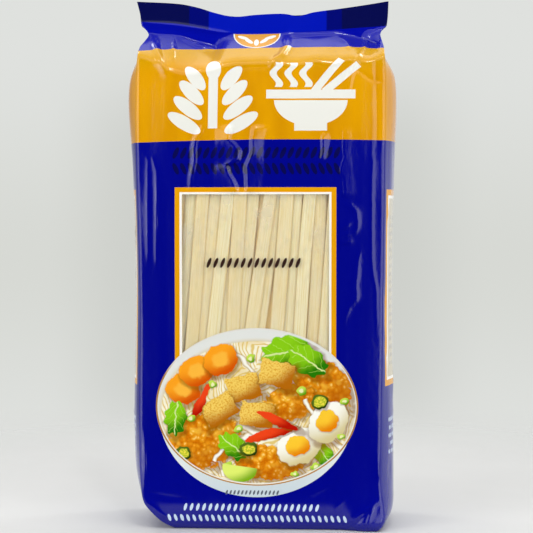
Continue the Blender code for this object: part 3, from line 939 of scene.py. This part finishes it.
def base_print(net, place):
    """Royal blue all round, lighter on the shoulder as painted light, with the orange band, yellower at its
    top as painted sheen and shade, and the seal, brighter than the film as painted light and darker where it
    has more layers.
    """
    u, v, _ = net.parts(place)
    around = net.lowest(net.highest(u, -BAND_REACH), BAND_REACH)
    band = net.times(net.above(bowed(net, around, v, FOOT_BOW), BAND_FOOT),
                     net.below(bowed(net, around, v, TOP_BOW), BAND_TOP))
    # Lighter blue towards the shoulder: painted light.
    base = net.mix(net.step(v, BAND_TOP - 12.0, BAND_TOP), BLUE, SHOULDER_BLUE_PAINTED_LIGHT)
    scale, rise = BAND_STREAKS
    orange = net.mix(net.step(net.noise(place, scale, rise=rise), 0.36, 0.64), ORANGE, PALE_ORANGE)
    # Yellower towards the band's top: painted sheen and shade.
    orange = net.mix(net.step(v, BAND_TOP - 18.0, BAND_TOP - 6.0), orange, TOP_ORANGE_PAINTED_SHEEN_AND_SHADE)
    colour = net.mix(band, base, orange)
    seal = net.above(v, net.step(u, -6.0, -40.0, SEAL_ROOT + 0.4, SEAL_ROOT + 2.2))
    # The seal's brighter blue is painted light.
    colour = net.mix(seal, colour, SEAL_BLUE_PAINTED_LIGHT)
    for (left, right), dye in zip(SEAL_LAYERS, (SEAL_DEEP, SEAL_NAVY)):
        layers = [net.step(u, left, left - LAYER_EDGE), net.step(u, right, right + LAYER_EDGE)]
        colour = net.mix(net.times(seal, net.any_of(layers)), colour, dye)
    return colour


# Rows of grain shapes: the left and right end, the height, the pitch, half a grain's size and its slant.
DARK_ROWS = [(-35.4, 32.8, 153.1, 3.1, (0.95, 2.5), -24), (-35.4, 32.8, 146.7, 3.1, (0.95, 2.5), 24)]
PALE_ROWS = [(-31.4, 24.8, 9.5, 2.55, (0.62, 1.6), -18), (-38.0, 35.6, 4.9, 2.55, (0.62, 1.5), 18)]
CHINA_ROW = (-14.0, 8.25, 15.7, 1.59, (0.4, 1.0), -20)
WINDOW_ROW = (-21.6, 17.0, 108.8, 2.76, (0.68, 2.15), -22)


def row_of_grains(net, place, left, right, z, pitch, size, angle):
    """One inside a row of slanting grain shapes."""
    u, v, _ = net.parts(place)
    cell = net.rest(net.over(net.minus(u, left), pitch))
    x = net.times(net.minus(cell, 0.5), pitch)
    local = net.join(x, net.minus(v, z))
    grain = net.within(net.disc(local, 0, 0, *size, angle))
    across = net.within(net.size(net.minus(u, (left + right) / 2)), limit=(right - left) / 2)
    return net.times(grain, across)


# The plain signs: a rice ear's middle and pairs of grains, and a bowl's middle and the boxes of its rim, its
# foot and two sticks, each (x, z, half width, half height, turn) from that middle.
RICE_EAR = (-19.0, 177.2)
EAR_PAIRS = 4
BOWL_SIGN = (20.6, 175.0)
SIGN_BOXES = [(0.0, 1.9, 18.0, 1.8, 0), (0.0, -11.4, 6.6, 1.6, 0), (6.6, 9.6, 1.55, 9.4, -38),
              (12.4, 8.6, 1.55, 9.0, -50)]

# The half oval under the seal: its middle and half size, and its grains (x, z, turn).
SHIELD = (-2.2, SEAL_ROOT)
SHIELD_SIZE = (9.8, 11.0)
SHIELD_RIM = 0.95
SHIELD_PIPS = [(0.0, -6.5, 0), (-3.2, -5.1, 38), (3.2, -5.1, -38), (-5.6, -2.6, 62), (5.6, -2.6, -62)]


def rice_ear_sign(net, place):
    """A plain sign: a stem with pairs of grains."""
    x, z = RICE_EAR
    masks = [net.within(net.box(place, x, z - 2.6, 1.9, 11.6)),
             net.within(net.disc(place, x, z + 10.2, 3.1, 4.6))]
    for k in range(EAR_PAIRS):
        for sign in (-1, 1):
            reach, lift = 7.4 + 1.4 * k, 6.6 - 6.2 * k
            turn = -sign * (38 + 7 * k)
            masks.append(net.within(net.disc(place, x + sign * reach, z + lift, 2.7, 6.2 + 0.5 * k, turn)))
    return net.any_of(masks)


def bowl_sign(net, place):
    """A plain sign: a bowl with two sticks across it and steam above."""
    x, z = BOWL_SIGN
    lower = net.below(net.parts(place)[1], z - 0.6)
    masks = [net.times(net.within(net.disc(place, x, z - 0.6, 14.8, 10.4)), lower)]
    masks += [net.within(net.box(place, x + right, z + up, *rest)) for right, up, *rest in SIGN_BOXES]
    u, v, _ = net.parts(place)
    sway = net.times(net.sine(net.times(v, 0.72)), 1.3)
    swung = net.join(net.plus(u, sway), v)
    masks += [net.within(net.box(swung, x - 14.0 + 6.0 * k, z + 10.2, 1.45, 5.4)) for k in range(3)]
    return net.any_of(masks)


def front_signs(net, place, colour):
    """The plain signs, the dark rows of grain shapes and the half oval under the seal."""
    colour = net.mix(net.any_of([rice_ear_sign(net, place), bowl_sign(net, place)]), colour, WHITE)
    dark = net.any_of([row_of_grains(net, place, *row) for row in DARK_ROWS])
    colour = net.mix(net.times(dark, 0.85), colour, NAVY)
    x, z = SHIELD
    shield = net.highest(net.disc(place, x, z, *SHIELD_SIZE), net.above(net.parts(place)[1], SEAL_ROOT))
    colour = net.mix(net.within(shield), colour, WHITE)
    colour = net.mix(net.within(shield, limit=SHIELD_RIM), colour, ORANGE)
    pips = [net.within(net.disc(place, x + right, z + up, 1.0, 2.6, turn)) for right, up, turn in SHIELD_PIPS]
    return net.mix(net.any_of(pips), colour, WHITE)


# The frame round the window: the height of its middle, and for each line how far it stands past the window at
# the sides, half its height and its dye.
FRAME_Z = 100.0
FRAME_LINES = [(2.8, 39.2, FRAME_ORANGE), (0.85, 37.25, FRAME_WHITE)]


def front_frame(net, place, colour):
    """The frame round the window and the pale rows of grain shapes at the foot."""
    pale = net.any_of([row_of_grains(net, place, *row) for row in PALE_ROWS])
    colour = net.mix(pale, colour, PALE_BLUE)
    middle, half = (WINDOW_LEFT + WINDOW_RIGHT) / 2, (WINDOW_RIGHT - WINDOW_LEFT) / 2
    for past, half_z, dye in FRAME_LINES:
        colour = net.mix(net.within(net.box(place, middle, FRAME_Z, half + past, half_z)), colour, dye)
    return colour


# The framed panels on the sides and on each half of the back: middle and half width round the pack, and the
# foot and the top of the frame, of the fine marks in it and of those below it.
PANELS = [(73.4, 20.4), (119.0, 18.6)]
PANEL_SPAN = (58.6, 138.4)
PANEL_LINES = [(0.0, FRAME_ORANGE), (2.4, FRAME_WHITE), (3.6, PANEL)]
MARK_SPANS = [((66.0, 128.7), 5.5, FINE_GREY), ((29.7, 46.2), 4.0, PALE_BLUE)]
MARK_PITCH = 3.3
MARK_CELL = 1.15
BACK_MIDDLE = 119.0


def middle_and_half(span):
    return sum(span) / 2, (span[1] - span[0]) / 2


def fine_rows(net, along, v, middle, half, span):
    """One inside rows of fine marks, with gaps here and there and ragged row ends."""
    row = net.over(v, MARK_PITCH)
    cell = net.over(along, MARK_CELL)
    chance = net.chance("Vector", net.join(net.whole(cell), net.whole(row)), "2D")
    end = net.chance("W", net.whole(row), "1D")
    local = net.join(net.minus(net.rest(cell), 0.5), net.minus(net.rest(row), 0.5))
    mark = net.times(net.within(net.disc(local, 0, 0, 0.36, 0.27, 20)), net.above(chance, 0.2))
    inside = net.times(net.above(along, middle - half),
                       net.below(along, net.times_plus(end, -0.7 * half, middle + half)))
    z, half_z = middle_and_half(span)
    height = net.below(net.size(net.minus(v, z)), half_z)
    return net.times(mark, net.times(inside, height))


def side_marks(net, place, colour):
    """The framed panels on the sides and the back, fine pale rows below them, and the signs on the back."""
    u, v, _ = net.parts(place)
    along = net.size(u)
    folded = net.join(along, v)
    z, half_z = middle_and_half(PANEL_SPAN)
    for middle, half in PANELS:
        for inset, dye in PANEL_LINES:
            panel = net.box(folded, middle, z, half - inset, half_z - inset)
            colour = net.mix(net.within(panel), colour, dye)
        for span, inset, dye in MARK_SPANS:
            colour = net.mix(fine_rows(net, along, v, middle, half - inset, span), colour, dye)
    ear = net.vector("ADD", place, (BACK_MIDDLE + RICE_EAR[0], 0, 0))
    bowl = net.vector("ADD", place, (BOWL_SIGN[0] - BACK_MIDDLE, 0, 0))
    signs = net.any_of([rice_ear_sign(net, ear), bowl_sign(net, bowl)])
    return net.mix(signs, colour, WHITE)


# ---------------------------------------------------------------- the printed bowl of food

# The china: the bowl's outside, its rim (see BOWL_X and so on) and the soup in it. Pairs of dyes go with
# heights between which the one turns into the other.
OUTSIDE = (-1.4, 48.0, 39.4, 34.2)
OUTSIDE_DYES = (ink(196, 210, 216), ink(222, 228, 228))
CHINA_DYES = (ink(238, 236, 226), ink(227, 229, 224))
RIM_DYES = (ink(176, 128, 58), ink(228, 226, 218))
RIM_LINE = 0.984
ROW_GREY = ink(96, 102, 112)
SOUP = (-1.0, 48.4, 38.8, 28.8)
SOUP_EDGE = ink(214, 190, 120)
SOUP_YELLOW = ink(228, 194, 96)

# Each piece of food is lit from LIGHT_WAY and has a dye for its lit side and one for its shaded edge.
LIGHT_WAY = (-0.5, 0.86)
SHADOW = ink(126, 76, 8)

# The thin noodles lie in arcs round these places (x, z), at this pitch.
STRAND_CENTRES = [(-52, 96, 1.7), (40, -12, 1.6), (-14, 8, 1.5), (64, 70, 1.7), (-2, 60, 1.5)]
TANGLE_DYES = (ink(228, 200, 116), ink(250, 244, 218))

# Thick noodles over the others: the middle of the arc, its radius, the way it faces and half its reach.
STRANDS_BELOW = [(-14, 62, 11, 40, 70), (30, 66, 17, 200, 50), (24, 22, 16, 30, 60), (-34, 20, 20, 50, 42)]
STRANDS_ABOVE = [(-2, 22, 17, 118, 40), (6, 55, 17, 255, 38), (34, 62, 18, 235, 30)]
STRAND_DYES = (ink(250, 247, 236), ink(214, 196, 150))
STRAND_SHADOW = ink(150, 98, 24)

# Heaps of crumbs (x, z, half width, half height, turn).
CRUMBS = [
    (25.4, 60.0, 13.6, 9.6, -32), (-23.0, 36.4, 15.4, 11.4, 20), (3.6, 28.0, 14.4, 7.4, -4),
    (12.6, 52.8, 10.6, 7.4, 10),
]
CRUMB_DYES = (ink(248, 176, 34), ink(200, 102, 2))
CRUMB_GRIT = ink(238, 142, 8)
CRUMB_CLUMP = ink(250, 196, 62)
CRUMB_TOP = ink(255, 226, 130)
CRUMB_DARK = ink(176, 88, 4)

# Slices of carrot, tofu and egg (x, z, turn), and a piece of lime (x, z).
CARROTS = [(-31.0, 57.5, 0), (-25.4, 65.0, 20), (-15.6, 69.6, 35)]
CARROT_DYES = (ink(255, 164, 30), ink(216, 84, 4))
CARROT_HEART = ink(255, 186, 62)
TOFU = [(-6.4, 58.4, 14), (7.0, 64.0, -12), (-16.0, 49.6, 32), (-1.0, 47.4, -8)]
TOFU_DYES = (ink(246, 210, 100), ink(224, 156, 26))
TOFU_EDGE = ink(182, 104, 10)
EGGS = [(16.2, 34.6, 24), (28.0, 44.6, 52)]
EGG_DYES = (ink(253, 252, 240), ink(214, 200, 144))
YOLK_DYES = (ink(255, 204, 50), ink(232, 130, 4))
YOLK_SHIFT = (-0.6, 0.4)
LIMES = [(-8.0, 25.4)]
LIME_DYES = (ink(224, 240, 110), ink(120, 172, 20))

# Leaves (x, z, length, turn) and peppers (x, z, half length, half width, turn).
LEAVES = [
    (11.0, 73.0, 10.0, 14), (19.6, 69.4, 8.4, -34), (-34.0, 45.6, 6.6, 84), (26.4, 31.2, 5.4, 128),
    (-10.4, 34.4, 6.8, -38),
]
LEAF_DYES = (ink(138, 206, 24), ink(38, 122, 6))
LEAF_VEIN = ink(186, 224, 92)
LEAF_SPINE = ink(216, 234, 150)
PEPPERS = [(4.4, 39.6, 10.4, 1.9, 14), (7.4, 45.0, 8.6, 1.7, -24), (-23.6, 52.6, 7.6, 1.8, 66)]
PEPPER_DYES = (ink(240, 70, 26), ink(184, 20, 4))

# Rings of green chilli and of spring onion (x, z, radius).
CHILLI_RINGS = [(-4.4, 33.4, 3.7), (24.6, 52.6, 3.5), (-31.0, 31.4, 3.3)]
CHILLI_DYES = (ink(84, 110, 30), ink(34, 58, 12))
SEED_DYES = (ink(236, 222, 70), ink(176, 190, 40))
ONION_RINGS = [
    (-3.4, 70.2, 2.0), (-18.8, 59.6, 1.9), (17.4, 57.2, 2.1), (-13.0, 26.4, 2.1), (22.6, 26.6, 2.0),
    (14.4, 23.2, 1.6), (-27.6, 45.6, 1.8), (34.4, 53.0, 1.8), (-8.4, 41.4, 1.8), (33.0, 38.4, 1.6),
]
ONION_DYES = (ink(196, 226, 76), ink(84, 150, 16))
ONION_HEART = ink(238, 240, 180)


def near(pieces, reach, span):
    """The pieces whose middle, their first number, lies within reach of a span across."""
    return [piece for piece in pieces if span[0] - reach < piece[0] < span[1] + reach]


def stirred(net, place, scale, reach):
    """The place, moved this way and that by soft noise."""
    sway = net.vector("SUBTRACT", net.noise(place, scale, out=1), (0.5, 0.5, 0.5))
    return net.vector("ADD", place, net.vector("MULTIPLY", sway, (reach, reach, 0)))


def piece(net, colour, place, spot, field, dyes, halo=0.6, spread=0.24):
    """A rounded piece of food at spot (x, z, size), lit from the upper left, with its shadow below it."""
    x, z, size = spot
    lift = net.vector("DOT_PRODUCT", net.frame(place, x, z, 0.0, (size, size)), (*LIGHT_WAY, 0))
    shadow = net.step(net.times_plus(lift, spread * 0.7, field), 1.0 + spread, 0.96, 0.0, halo)
    colour = net.mix(shadow, colour, SHADOW)
    shade = net.step(net.times_plus(field, -0.5, lift), -1.3, 0.2)
    lit, edge = dyes
    return net.mix(net.within(field, 0.03), colour, net.mix(shade, edge, lit))


def tangle(net, place):
    """White noodles lying in arcs over each other, in a little yellow soup."""
    for k, (x, z, width) in enumerate(STRAND_CENTRES):
        way = net.vector("DISTANCE", place, (x, z, 0))
        wave = net.sine(net.times(way, math.tau / width))
        strand = net.mix(net.step(wave, -1.0, 0.0), *TANGLE_DYES)
        if k == 0:
            colour = strand
        else:
            patch = net.noise(net.vector("ADD", place, (31.0 * k, 17.0 * k, 0)), 0.075, 0.0)
            colour = net.mix(net.step(patch, 0.47, 0.50), colour, strand)
    soup = net.noise(place, 0.06, 1.0)
    return net.mix(net.step(soup, 0.46, 0.62, 0.0, 0.6), colour, SOUP_YELLOW)


def thick_strand(net, colour, place, x, z, radius, middle, reach):
    """A thick white noodle, an arc round (x, z), over a thin shadow."""
    local = net.frame(place, x, z, middle, (radius, radius))
    way = net.vector("LENGTH", local)
    ahead = net.above(net.over(net.parts(local)[0], way), math.cos(math.radians(reach)))
    across = net.times(net.size(net.minus(way, 1.0)), radius / 0.95)
    colour = net.mix(net.times(ahead, net.step(across, 1.7, 1.0, 0.0, 0.5)), colour, STRAND_SHADOW)
    body = net.mix(net.step(across, 0.25, 1.0), *STRAND_DYES)
    return net.mix(net.times(ahead, net.within(across, 0.12)), colour, body)


def crumb_heaps(net, colour, place, loose, grit, span):
    """Heaps of golden crumbs, each crumb paler on top."""
    cells = net.node("ShaderNodeTexVoronoi", {"Vector": loose, "Scale": 0.5})
    clump = net.noise(place, 0.16)
    crumb = net.mix(net.step(cells, 0.1, 0.85), *CRUMB_DYES)
    crumb = net.mix(net.step(grit, 0.35, 0.7, 0.0, 0.5), crumb, CRUMB_GRIT)
    crumb = net.mix(net.step(clump, 0.5, 0.66, 0.0, 0.7), crumb, CRUMB_CLUMP)
    crumb = net.mix(net.step(cells, 0.34, 0.04, 0.0, 0.8), crumb, CRUMB_TOP)
    dark = net.mix(0.6, crumb, CRUMB_DARK)
    for x, z, rx, rz, turn in near(CRUMBS, 20, span):
        ragged = net.times(net.minus(cells, 0.4), 0.3)
        field = net.plus(net.disc(loose, x, z, rx, rz, turn), ragged)
        colour = piece(net, colour, place, (x, z, rz), field, (crumb, dark), 0.6, 0.2)
    return colour


def leaf(net, colour, place, x, z, size, turn):
    """A green leaf with a wavy edge and pale veins."""
    local = net.frame(place, x, z, turn, (size, size * 0.66))
    lx, lz, _ = net.parts(local)
    lobes = net.times(net.sine(net.times(net.math("ARCTAN2", lz, lx), 9.0)), 0.09)
    field = net.plus(net.vector("LENGTH", local), lobes)
    colour = piece(net, colour, place, (x, z, size * 0.7), field, LEAF_DYES)
    veins = net.plus(net.times(lx, 7.0), net.size(net.times(lz, 5.0)))
    veins = net.step(net.size(net.sine(veins)), 0.22, 0.05, 0.0, 0.55)
    colour = net.mix(net.times(veins, net.within(field, 0.05, 0.9)), colour, LEAF_VEIN)
    spine = net.times(net.step(net.size(lz), 0.09, 0.03), net.within(field, 0.05, 0.95))
    return net.mix(spine, colour, LEAF_SPINE)


def toppings(net, food, place, loose, grit, span):
    """The leaves, tofu, eggs, peppers, rings and lime that lie on top."""
    for x, z, size, turn in near(LEAVES, 14, span):
        food = leaf(net, food, loose, x, z, size, turn)
    for x, z, turn in near(TOFU, 13, span):
        field = net.box(loose, x, z, 6.8, 5.0, turn)
        skin = net.mix(net.step(grit, 0.46, 0.62, 0.0, 0.8), *TOFU_DYES)
        food = piece(net, food, place, (x, z, 5.6), field, (skin, TOFU_EDGE), 0.65, 0.3)
    for x, z, turn in near(EGGS, 14, span):
        food = piece(net, food, place, (x, z, 8.0), net.disc(loose, x, z, 9.2, 7.2, turn), EGG_DYES)
        x, z = x + YOLK_SHIFT[0], z + YOLK_SHIFT[1]
        yolk = net.disc(loose, x, z, 4.8, 4.2, turn)
        food = piece(net, food, place, (x, z, 4.4), yolk, YOLK_DYES, 0.3, 0.12)
    for x, z, half_x, half_z, turn in near(PEPPERS, 14, span):
        field = net.disc(loose, x, z, half_x, half_z, turn)
        food = piece(net, food, place, (x, z, 4.0), field, PEPPER_DYES)
    for x, z, size in near(CHILLI_RINGS, 7, span):
        ring = net.disc(loose, x, z, size, size * 0.86, 15)
        food = piece(net, food, place, (x, z, size), ring, CHILLI_DYES)
        heart = net.within(net.disc(loose, x, z, size * 0.68, size * 0.56, 15), 0.12)
        food = net.mix(heart, food, net.mix(net.step(grit, 0.45, 0.55), *SEED_DYES))
    for x, z, size in near(ONION_RINGS, 5, span):
        ring = net.disc(loose, x, z, size, size * 0.8, 30)
        food = piece(net, food, place, (x, z, size), ring, ONION_DYES, 0.4)
        heart = net.within(net.disc(loose, x, z, size * 0.45, size * 0.36, 30), 0.2)
        food = net.mix(heart, food, ONION_HEART)
    for x, z in near(LIMES, 10, span):
        wedge = net.disc(place, x, z, 7.0, 5.4, -8)
        cut = net.step(net.parts(net.frame(place, x, z, -8))[1], 0.9, 1.3, 0.0, 2.0)
        food = piece(net, food, place, (x, z - 2.0, 5.0), net.highest(wedge, cut), LIME_DYES)
    return food


def bowl_art(net, place, colour, span):
    """The printed bowl with its food, as far as it lies in a span across."""
    loose = stirred(net, place, 0.32, 2.6)
    height = net.parts(place)[1]
    outside = net.within(net.disc(place, *OUTSIDE))
    colour = net.mix(outside, colour, net.mix(net.step(height, 13.0, 30.0), *OUTSIDE_DYES))
    colour = net.mix(row_of_grains(net, place, *CHINA_ROW), colour, ROW_GREY)
    rim = net.disc(place, BOWL_X, BOWL_Z, BOWL_RX, BOWL_RZ)
    gold = net.mix(net.step(height, 62.0, 70.0), *RIM_DYES)
    colour = net.mix(net.within(rim), colour, gold)
    china = net.mix(net.step(height, 20.0, 84.0), *CHINA_DYES)
    colour = net.mix(net.within(rim, limit=RIM_LINE), colour, china)
    swayed = stirred(net, place, 0.09, 9.0)
    soup = net.disc(place, *SOUP)
    food = net.mix(net.step(soup, 1.06, 0.98, 0.0, 0.6), china, SOUP_EDGE)
    food = net.mix(net.within(soup, 0.012), food, tangle(net, swayed))
    grit = net.noise(place, 1.3, 3.0, 0.65)
    for arc in near(STRANDS_BELOW, 22, span):
        food = thick_strand(net, food, swayed, *arc)
    for x, z, turn in near(CARROTS, 11, span):
        food = piece(net, food, place, (x, z, 6.6), net.disc(loose, x, z, 7.0, 6.2, turn), CARROT_DYES)
        food = net.mix(net.within(net.disc(loose, x, z, 3.4, 2.9, turn), 0.3), food, CARROT_HEART)
    food = crumb_heaps(net, food, place, loose, grit, span)
    for arc in near(STRANDS_ABOVE, 22, span):
        food = thick_strand(net, food, swayed, *arc)
    food = toppings(net, food, place, loose, grit, span)
    inside_rim = net.within(net.disc(place, BOWL_X, BOWL_Z, BOWL_RX - 1.0, BOWL_RZ - 1.0), 0.008)
    return net.mix(inside_rim, colour, food)


# ---------------------------------------------------------------- the materials


def film_material(name, kind, span=None):
    """Glossy film; kind is plain, front or bowl, which says what is printed over the base.

    The bowl is printed in spans across, each a material of its own, as one shader can't hold all its food.
    """
    material, net = new_material(name)
    place = net.place_on("print")
    colour = base_print(net, place)
    if kind == "plain":
        colour = side_marks(net, place, colour)
    if kind == "front":
        colour = front_signs(net, place, colour)
    if kind != "plain":
        colour = front_frame(net, place, colour)
    if kind == "bowl":
        colour = bowl_art(net, place, colour, span)
    bump = net.bump(0.12, 0.0004, net.noise(place, 0.55, 3.0, rise=0.35))
    shader = net.surface(colour, 0.13, {"IOR": 1.5, "Normal": bump})
    net.node("ShaderNodeOutputMaterial", {"Surface": shader})
    return material


CLEAR_TINT = (0.97, 0.965, 0.94, 1)
GLOSS = ink(235, 235, 225)
# Whitish film: partly the film's own haze, partly painted glare.
HAZE_AND_PAINTED_GLARE = ink(226, 219, 200)
WINDOW_MARKS = ink(48, 22, 12)


def clear_material():
    """Clear film with a faint haze where it is wrinkled, partly a painted glare of light on it, and the dark
    marks printed on it.
    """
    material, net = new_material("clear_film")
    place = net.place_on("print")
    facing = net.node("ShaderNodeLayerWeight", {"Blend": 0.5}, 1)
    fresnel = net.times_plus(net.math("POWER", facing, 5.0), 0.93, 0.06)
    gloss = net.surface(GLOSS, 0.08)
    through = net.node("ShaderNodeBsdfTransparent", {"Color": CLEAR_TINT})
    shader = net.blend(fresnel, through, gloss)
    # Whitish patches where the film is wrinkled, growing up the window: partly the film's own haze, partly
    # painted glare.
    wrinkles = net.noise(place, 0.11, 2.0, 0.6, 0.55)
    most = net.step(net.parts(place)[1], 88.0, 126.0, 0.10, 0.28)
    haze_and_glare = net.surface(HAZE_AND_PAINTED_GLARE, 0.4)
    shader = net.blend(net.step(wrinkles, 0.46, 0.66, 0.07, most), shader, haze_and_glare)
    marks = row_of_grains(net, place, *WINDOW_ROW)
    shader = net.blend(marks, shader, net.surface(WINDOW_MARKS, 0.3))
    net.node("ShaderNodeOutputMaterial", {"Surface": shader})
    return material


# Dry noodles, those that show and the deeper ones, which are dyed warmer and brighter as a painted glow of
# light in the shade behind: pale and bright lines along them, the tone of some, edges, darker and golden as
# painted shade between the noodles.
NOODLE_DYES = [
    ("rice_noodle", ink(244, 224, 164), ink(255, 246, 208), ink(238, 211, 146), ink(224, 186, 104)),
    ("rice_noodle_deep_painted_glow", ink(252, 216, 132), ink(254, 226, 154), ink(244, 200, 108), ink(240, 186, 84)),
]
NOODLE_CLOUD = ink(238, 232, 208)


def noodle_material(name, pale, bright, tone, edge):
    """Dry noodle: its own tone for each one, fine lines along it and golden edges, which are painted shade
    between the noodles.
    """
    material, net = new_material(name)
    place = net.place_on("strand")
    number = net.math("ROUND", net.over(net.parts(place)[0], UV_PITCH))
    across = net.minus(net.parts(place)[0], net.times(number, UV_PITCH))
    chance = net.chance("W", number, "1D")
    grain = net.noise(place, 2.2, 3.0, 0.65, 0.02)
    cloud = net.noise(place, 0.16, rise=0.25)
    colour = net.mix(net.step(grain, 0.32, 0.68), pale, bright)
    colour = net.mix(net.step(chance, 0.2, 1.0, 0.0, 0.5), colour, tone)
    colour = net.mix(net.step(cloud, 0.42, 0.7, 0.0, 0.25), colour, NOODLE_CLOUD)
    # Golden edges: painted shade between the noodles.
    colour = net.mix(net.step(net.size(across), 2.2, 2.65, 0.0, 0.55), colour, edge)
    shader = net.surface(colour, 0.42, {
        "IOR": 1.45, "Normal": net.bump(0.35, 0.0002, grain), "Subsurface Weight": 0.2,
        "Subsurface Radius": (1.0, 0.7, 0.4), "Subsurface Scale": 0.0012})
    net.node("ShaderNodeOutputMaterial", {"Surface": shader})
    return material


# ---------------------------------------------------------------- floor, light and camera

CAMERA_AZIMUTH = math.radians(3.0)
CAMERA_ELEVATION = math.radians(2.0)
CAMERA_DISTANCE = 620.0
CAMERA_TARGET = (1.7, 0.0, 106.5)
CAMERA_LENS = 100.0

FLOOR_RADIUS = 1500.0
FLOOR_SIDES = 96
FLOOR_DYES = (ink(211, 211, 209), ink(215, 215, 213))

# What the camera sees behind the pack, with a painted shadow round the pack, and the light of the surround.
BACKDROP_DYES = (ink(215, 217, 212), ink(223, 225, 222))
BACKDROP_PAINTED_SHADOW = ink(200, 202, 197)
BACKDROP_TURN = math.sin(CAMERA_AZIMUTH)
SURROUND = ink(252, 254, 255)

# Lamps: place, width and height, power. All face the middle of the pack.
LAMP_TARGET = (0, 0, 110)
LAMPS = {
    "top_lamp": ((0, -85, 750), (1100, 490), 1.3),
    "back_top_lamp": ((0, 360, 750), (1100, 400), 1.5),
    "glint_lamp": ((72, -355, 696), (36, 130), 0.5),
    "left_top_glint": ((-200, -200, 700), (40, 100), 0.2),
    "left_back_glint": ((-330, 200, 700), (54, 200), 0.55),
    "right_back_glint": ((330, 200, 700), (54, 200), 0.55),
    "high_lamp": ((0, -380, 660), (1200, 380), 1.3),
    "left_lamp": ((-696, -487, 230), (1050, 900), 5.95),
    "right_lamp": ((632, -569, 230), (1050, 900), 5.95),
    "left_strip": ((-546, -651, 200), (40, 700), 0.5),
    "right_strip": ((546, -651, 200), (40, 700), 0.5),
}


def aimed(name, data, place, target):
    """An object in the scene that looks from place at target, both in millimetres."""
    obj = bpy.data.objects.new(name, data)
    obj.location = place * MM
    obj.rotation_euler = (target - place).to_track_quat("-Z", "Y").to_euler()
    bpy.context.scene.collection.objects.link(obj)
    return obj


def build_camera():
    """The camera, at the photograph's viewing angle."""
    flat = math.cos(CAMERA_ELEVATION)
    way = Vector((math.sin(CAMERA_AZIMUTH) * flat, -math.cos(CAMERA_AZIMUTH) * flat,
                  math.sin(CAMERA_ELEVATION)))
    data = bpy.data.cameras.new("camera")
    data.lens = CAMERA_LENS
    data.sensor_width = 36.0
    data.clip_start = 0.01
    target = Vector(CAMERA_TARGET)
    bpy.context.scene.camera = aimed("camera", data, target + way * CAMERA_DISTANCE, target)


def build_floor():
    """A pale floor that fades into the pale surroundings."""
    turn = np.linspace(0, math.tau, FLOOR_SIDES, endpoint=False)
    ring = FLOOR_RADIUS * np.stack([np.cos(turn), np.sin(turn), 0 * turn], axis=1)
    floor = new_object("floor", ring, [list(range(FLOOR_SIDES))])
    material, net = new_material("floor")
    place = net.node("ShaderNodeTexCoord", out=3)
    behind = net.parts(place)[1]
    fade = net.highest(net.step(net.vector("LENGTH", place), 0.12, 0.40), net.step(behind, -0.046, -0.068))
    paint = net.surface(net.mix(net.noise(place, 40.0, 3.0), *FLOOR_DYES), 0.75)
    clear = net.node("ShaderNodeBsdfTransparent")
    net.node("ShaderNodeOutputMaterial", {"Surface": net.blend(fade, paint, clear)})
    floor.data.materials.append(material)


def build_lamps():
    for name, (place, size, power) in LAMPS.items():
        data = bpy.data.lights.new(name, "AREA")
        data.shape = "RECTANGLE"
        data.size, data.size_y = size[0] * MM, size[1] * MM
        data.energy = power
        aimed(name, data, Vector(place), Vector(LAMP_TARGET))


def build_surround():
    """A white surround behind the pack, dark in front of it, and the pale backdrop that the camera sees, with
    a painted shadow round the pack.
    """
    world = bpy.data.worlds.new("surround")
    bpy.context.scene.world = world
    world.use_nodes = True
    net = Net(world.node_tree)
    side, behind, up = net.parts(net.node("ShaderNodeTexCoord", out=0))
    lit = net.times(net.step(behind, -0.15, 0.35, 0.02, 0.75), net.step(side, -0.2, -0.6, 1.0, 0.4))
    low = net.size(net.plus(up, 0.03))
    seen = net.mix(net.step(low, 0.0, 0.14), *BACKDROP_DYES)
    # A painted shadow on the backdrop round the pack, fading sideways and upwards.
    beside = net.size(net.plus(side, BACKDROP_TURN))
    shade = net.times(net.step(beside, 0.085, 0.15, 1.0, 0.0), net.step(low, 0.15, 0.07, 0.0, 0.6))
    seen = net.mix(shade, seen, BACKDROP_PAINTED_SHADOW)
    camera_ray = net.node("ShaderNodeLightPath")
    light = net.node("ShaderNodeBackground", {0: SURROUND, 1: lit})
    backdrop = net.node("ShaderNodeBackground", {0: seen, 1: 1.0})
    net.node("ShaderNodeOutputWorld", {0: net.blend(camera_ray, light, backdrop)})


def main():
    bpy.context.scene.view_settings.view_transform = "Standard"
    build_camera()
    build_floor()
    build_surround()
    build_lamps()
    printed, window = build_film()
    noodles = build_noodles()
    core = build_core()
    for kind in ("plain", "front"):
        printed.data.materials.append(film_material("film_" + kind, kind))
    for number, span in enumerate(zip(ART_EDGES, ART_EDGES[1:])):
        printed.data.materials.append(film_material(f"film_bowl_{number + 1}", "bowl", span))
    window.data.materials.append(clear_material())
    for dyes in NOODLE_DYES:
        noodles.data.materials.append(noodle_material(*dyes))
    # The core takes the deeper noodles' material, with their painted warm glow.
    core.data.materials.append(noodles.data.materials[-1])
    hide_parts("film_bag", "top_seal")
    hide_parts("noodle_bundle")
    for piece, slot in ((printed, "printed_film"), (window, "clear_film"),
                        (noodles, "rice_noodle"), (core, "rice_noodle")):
        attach(piece, "root")


main()
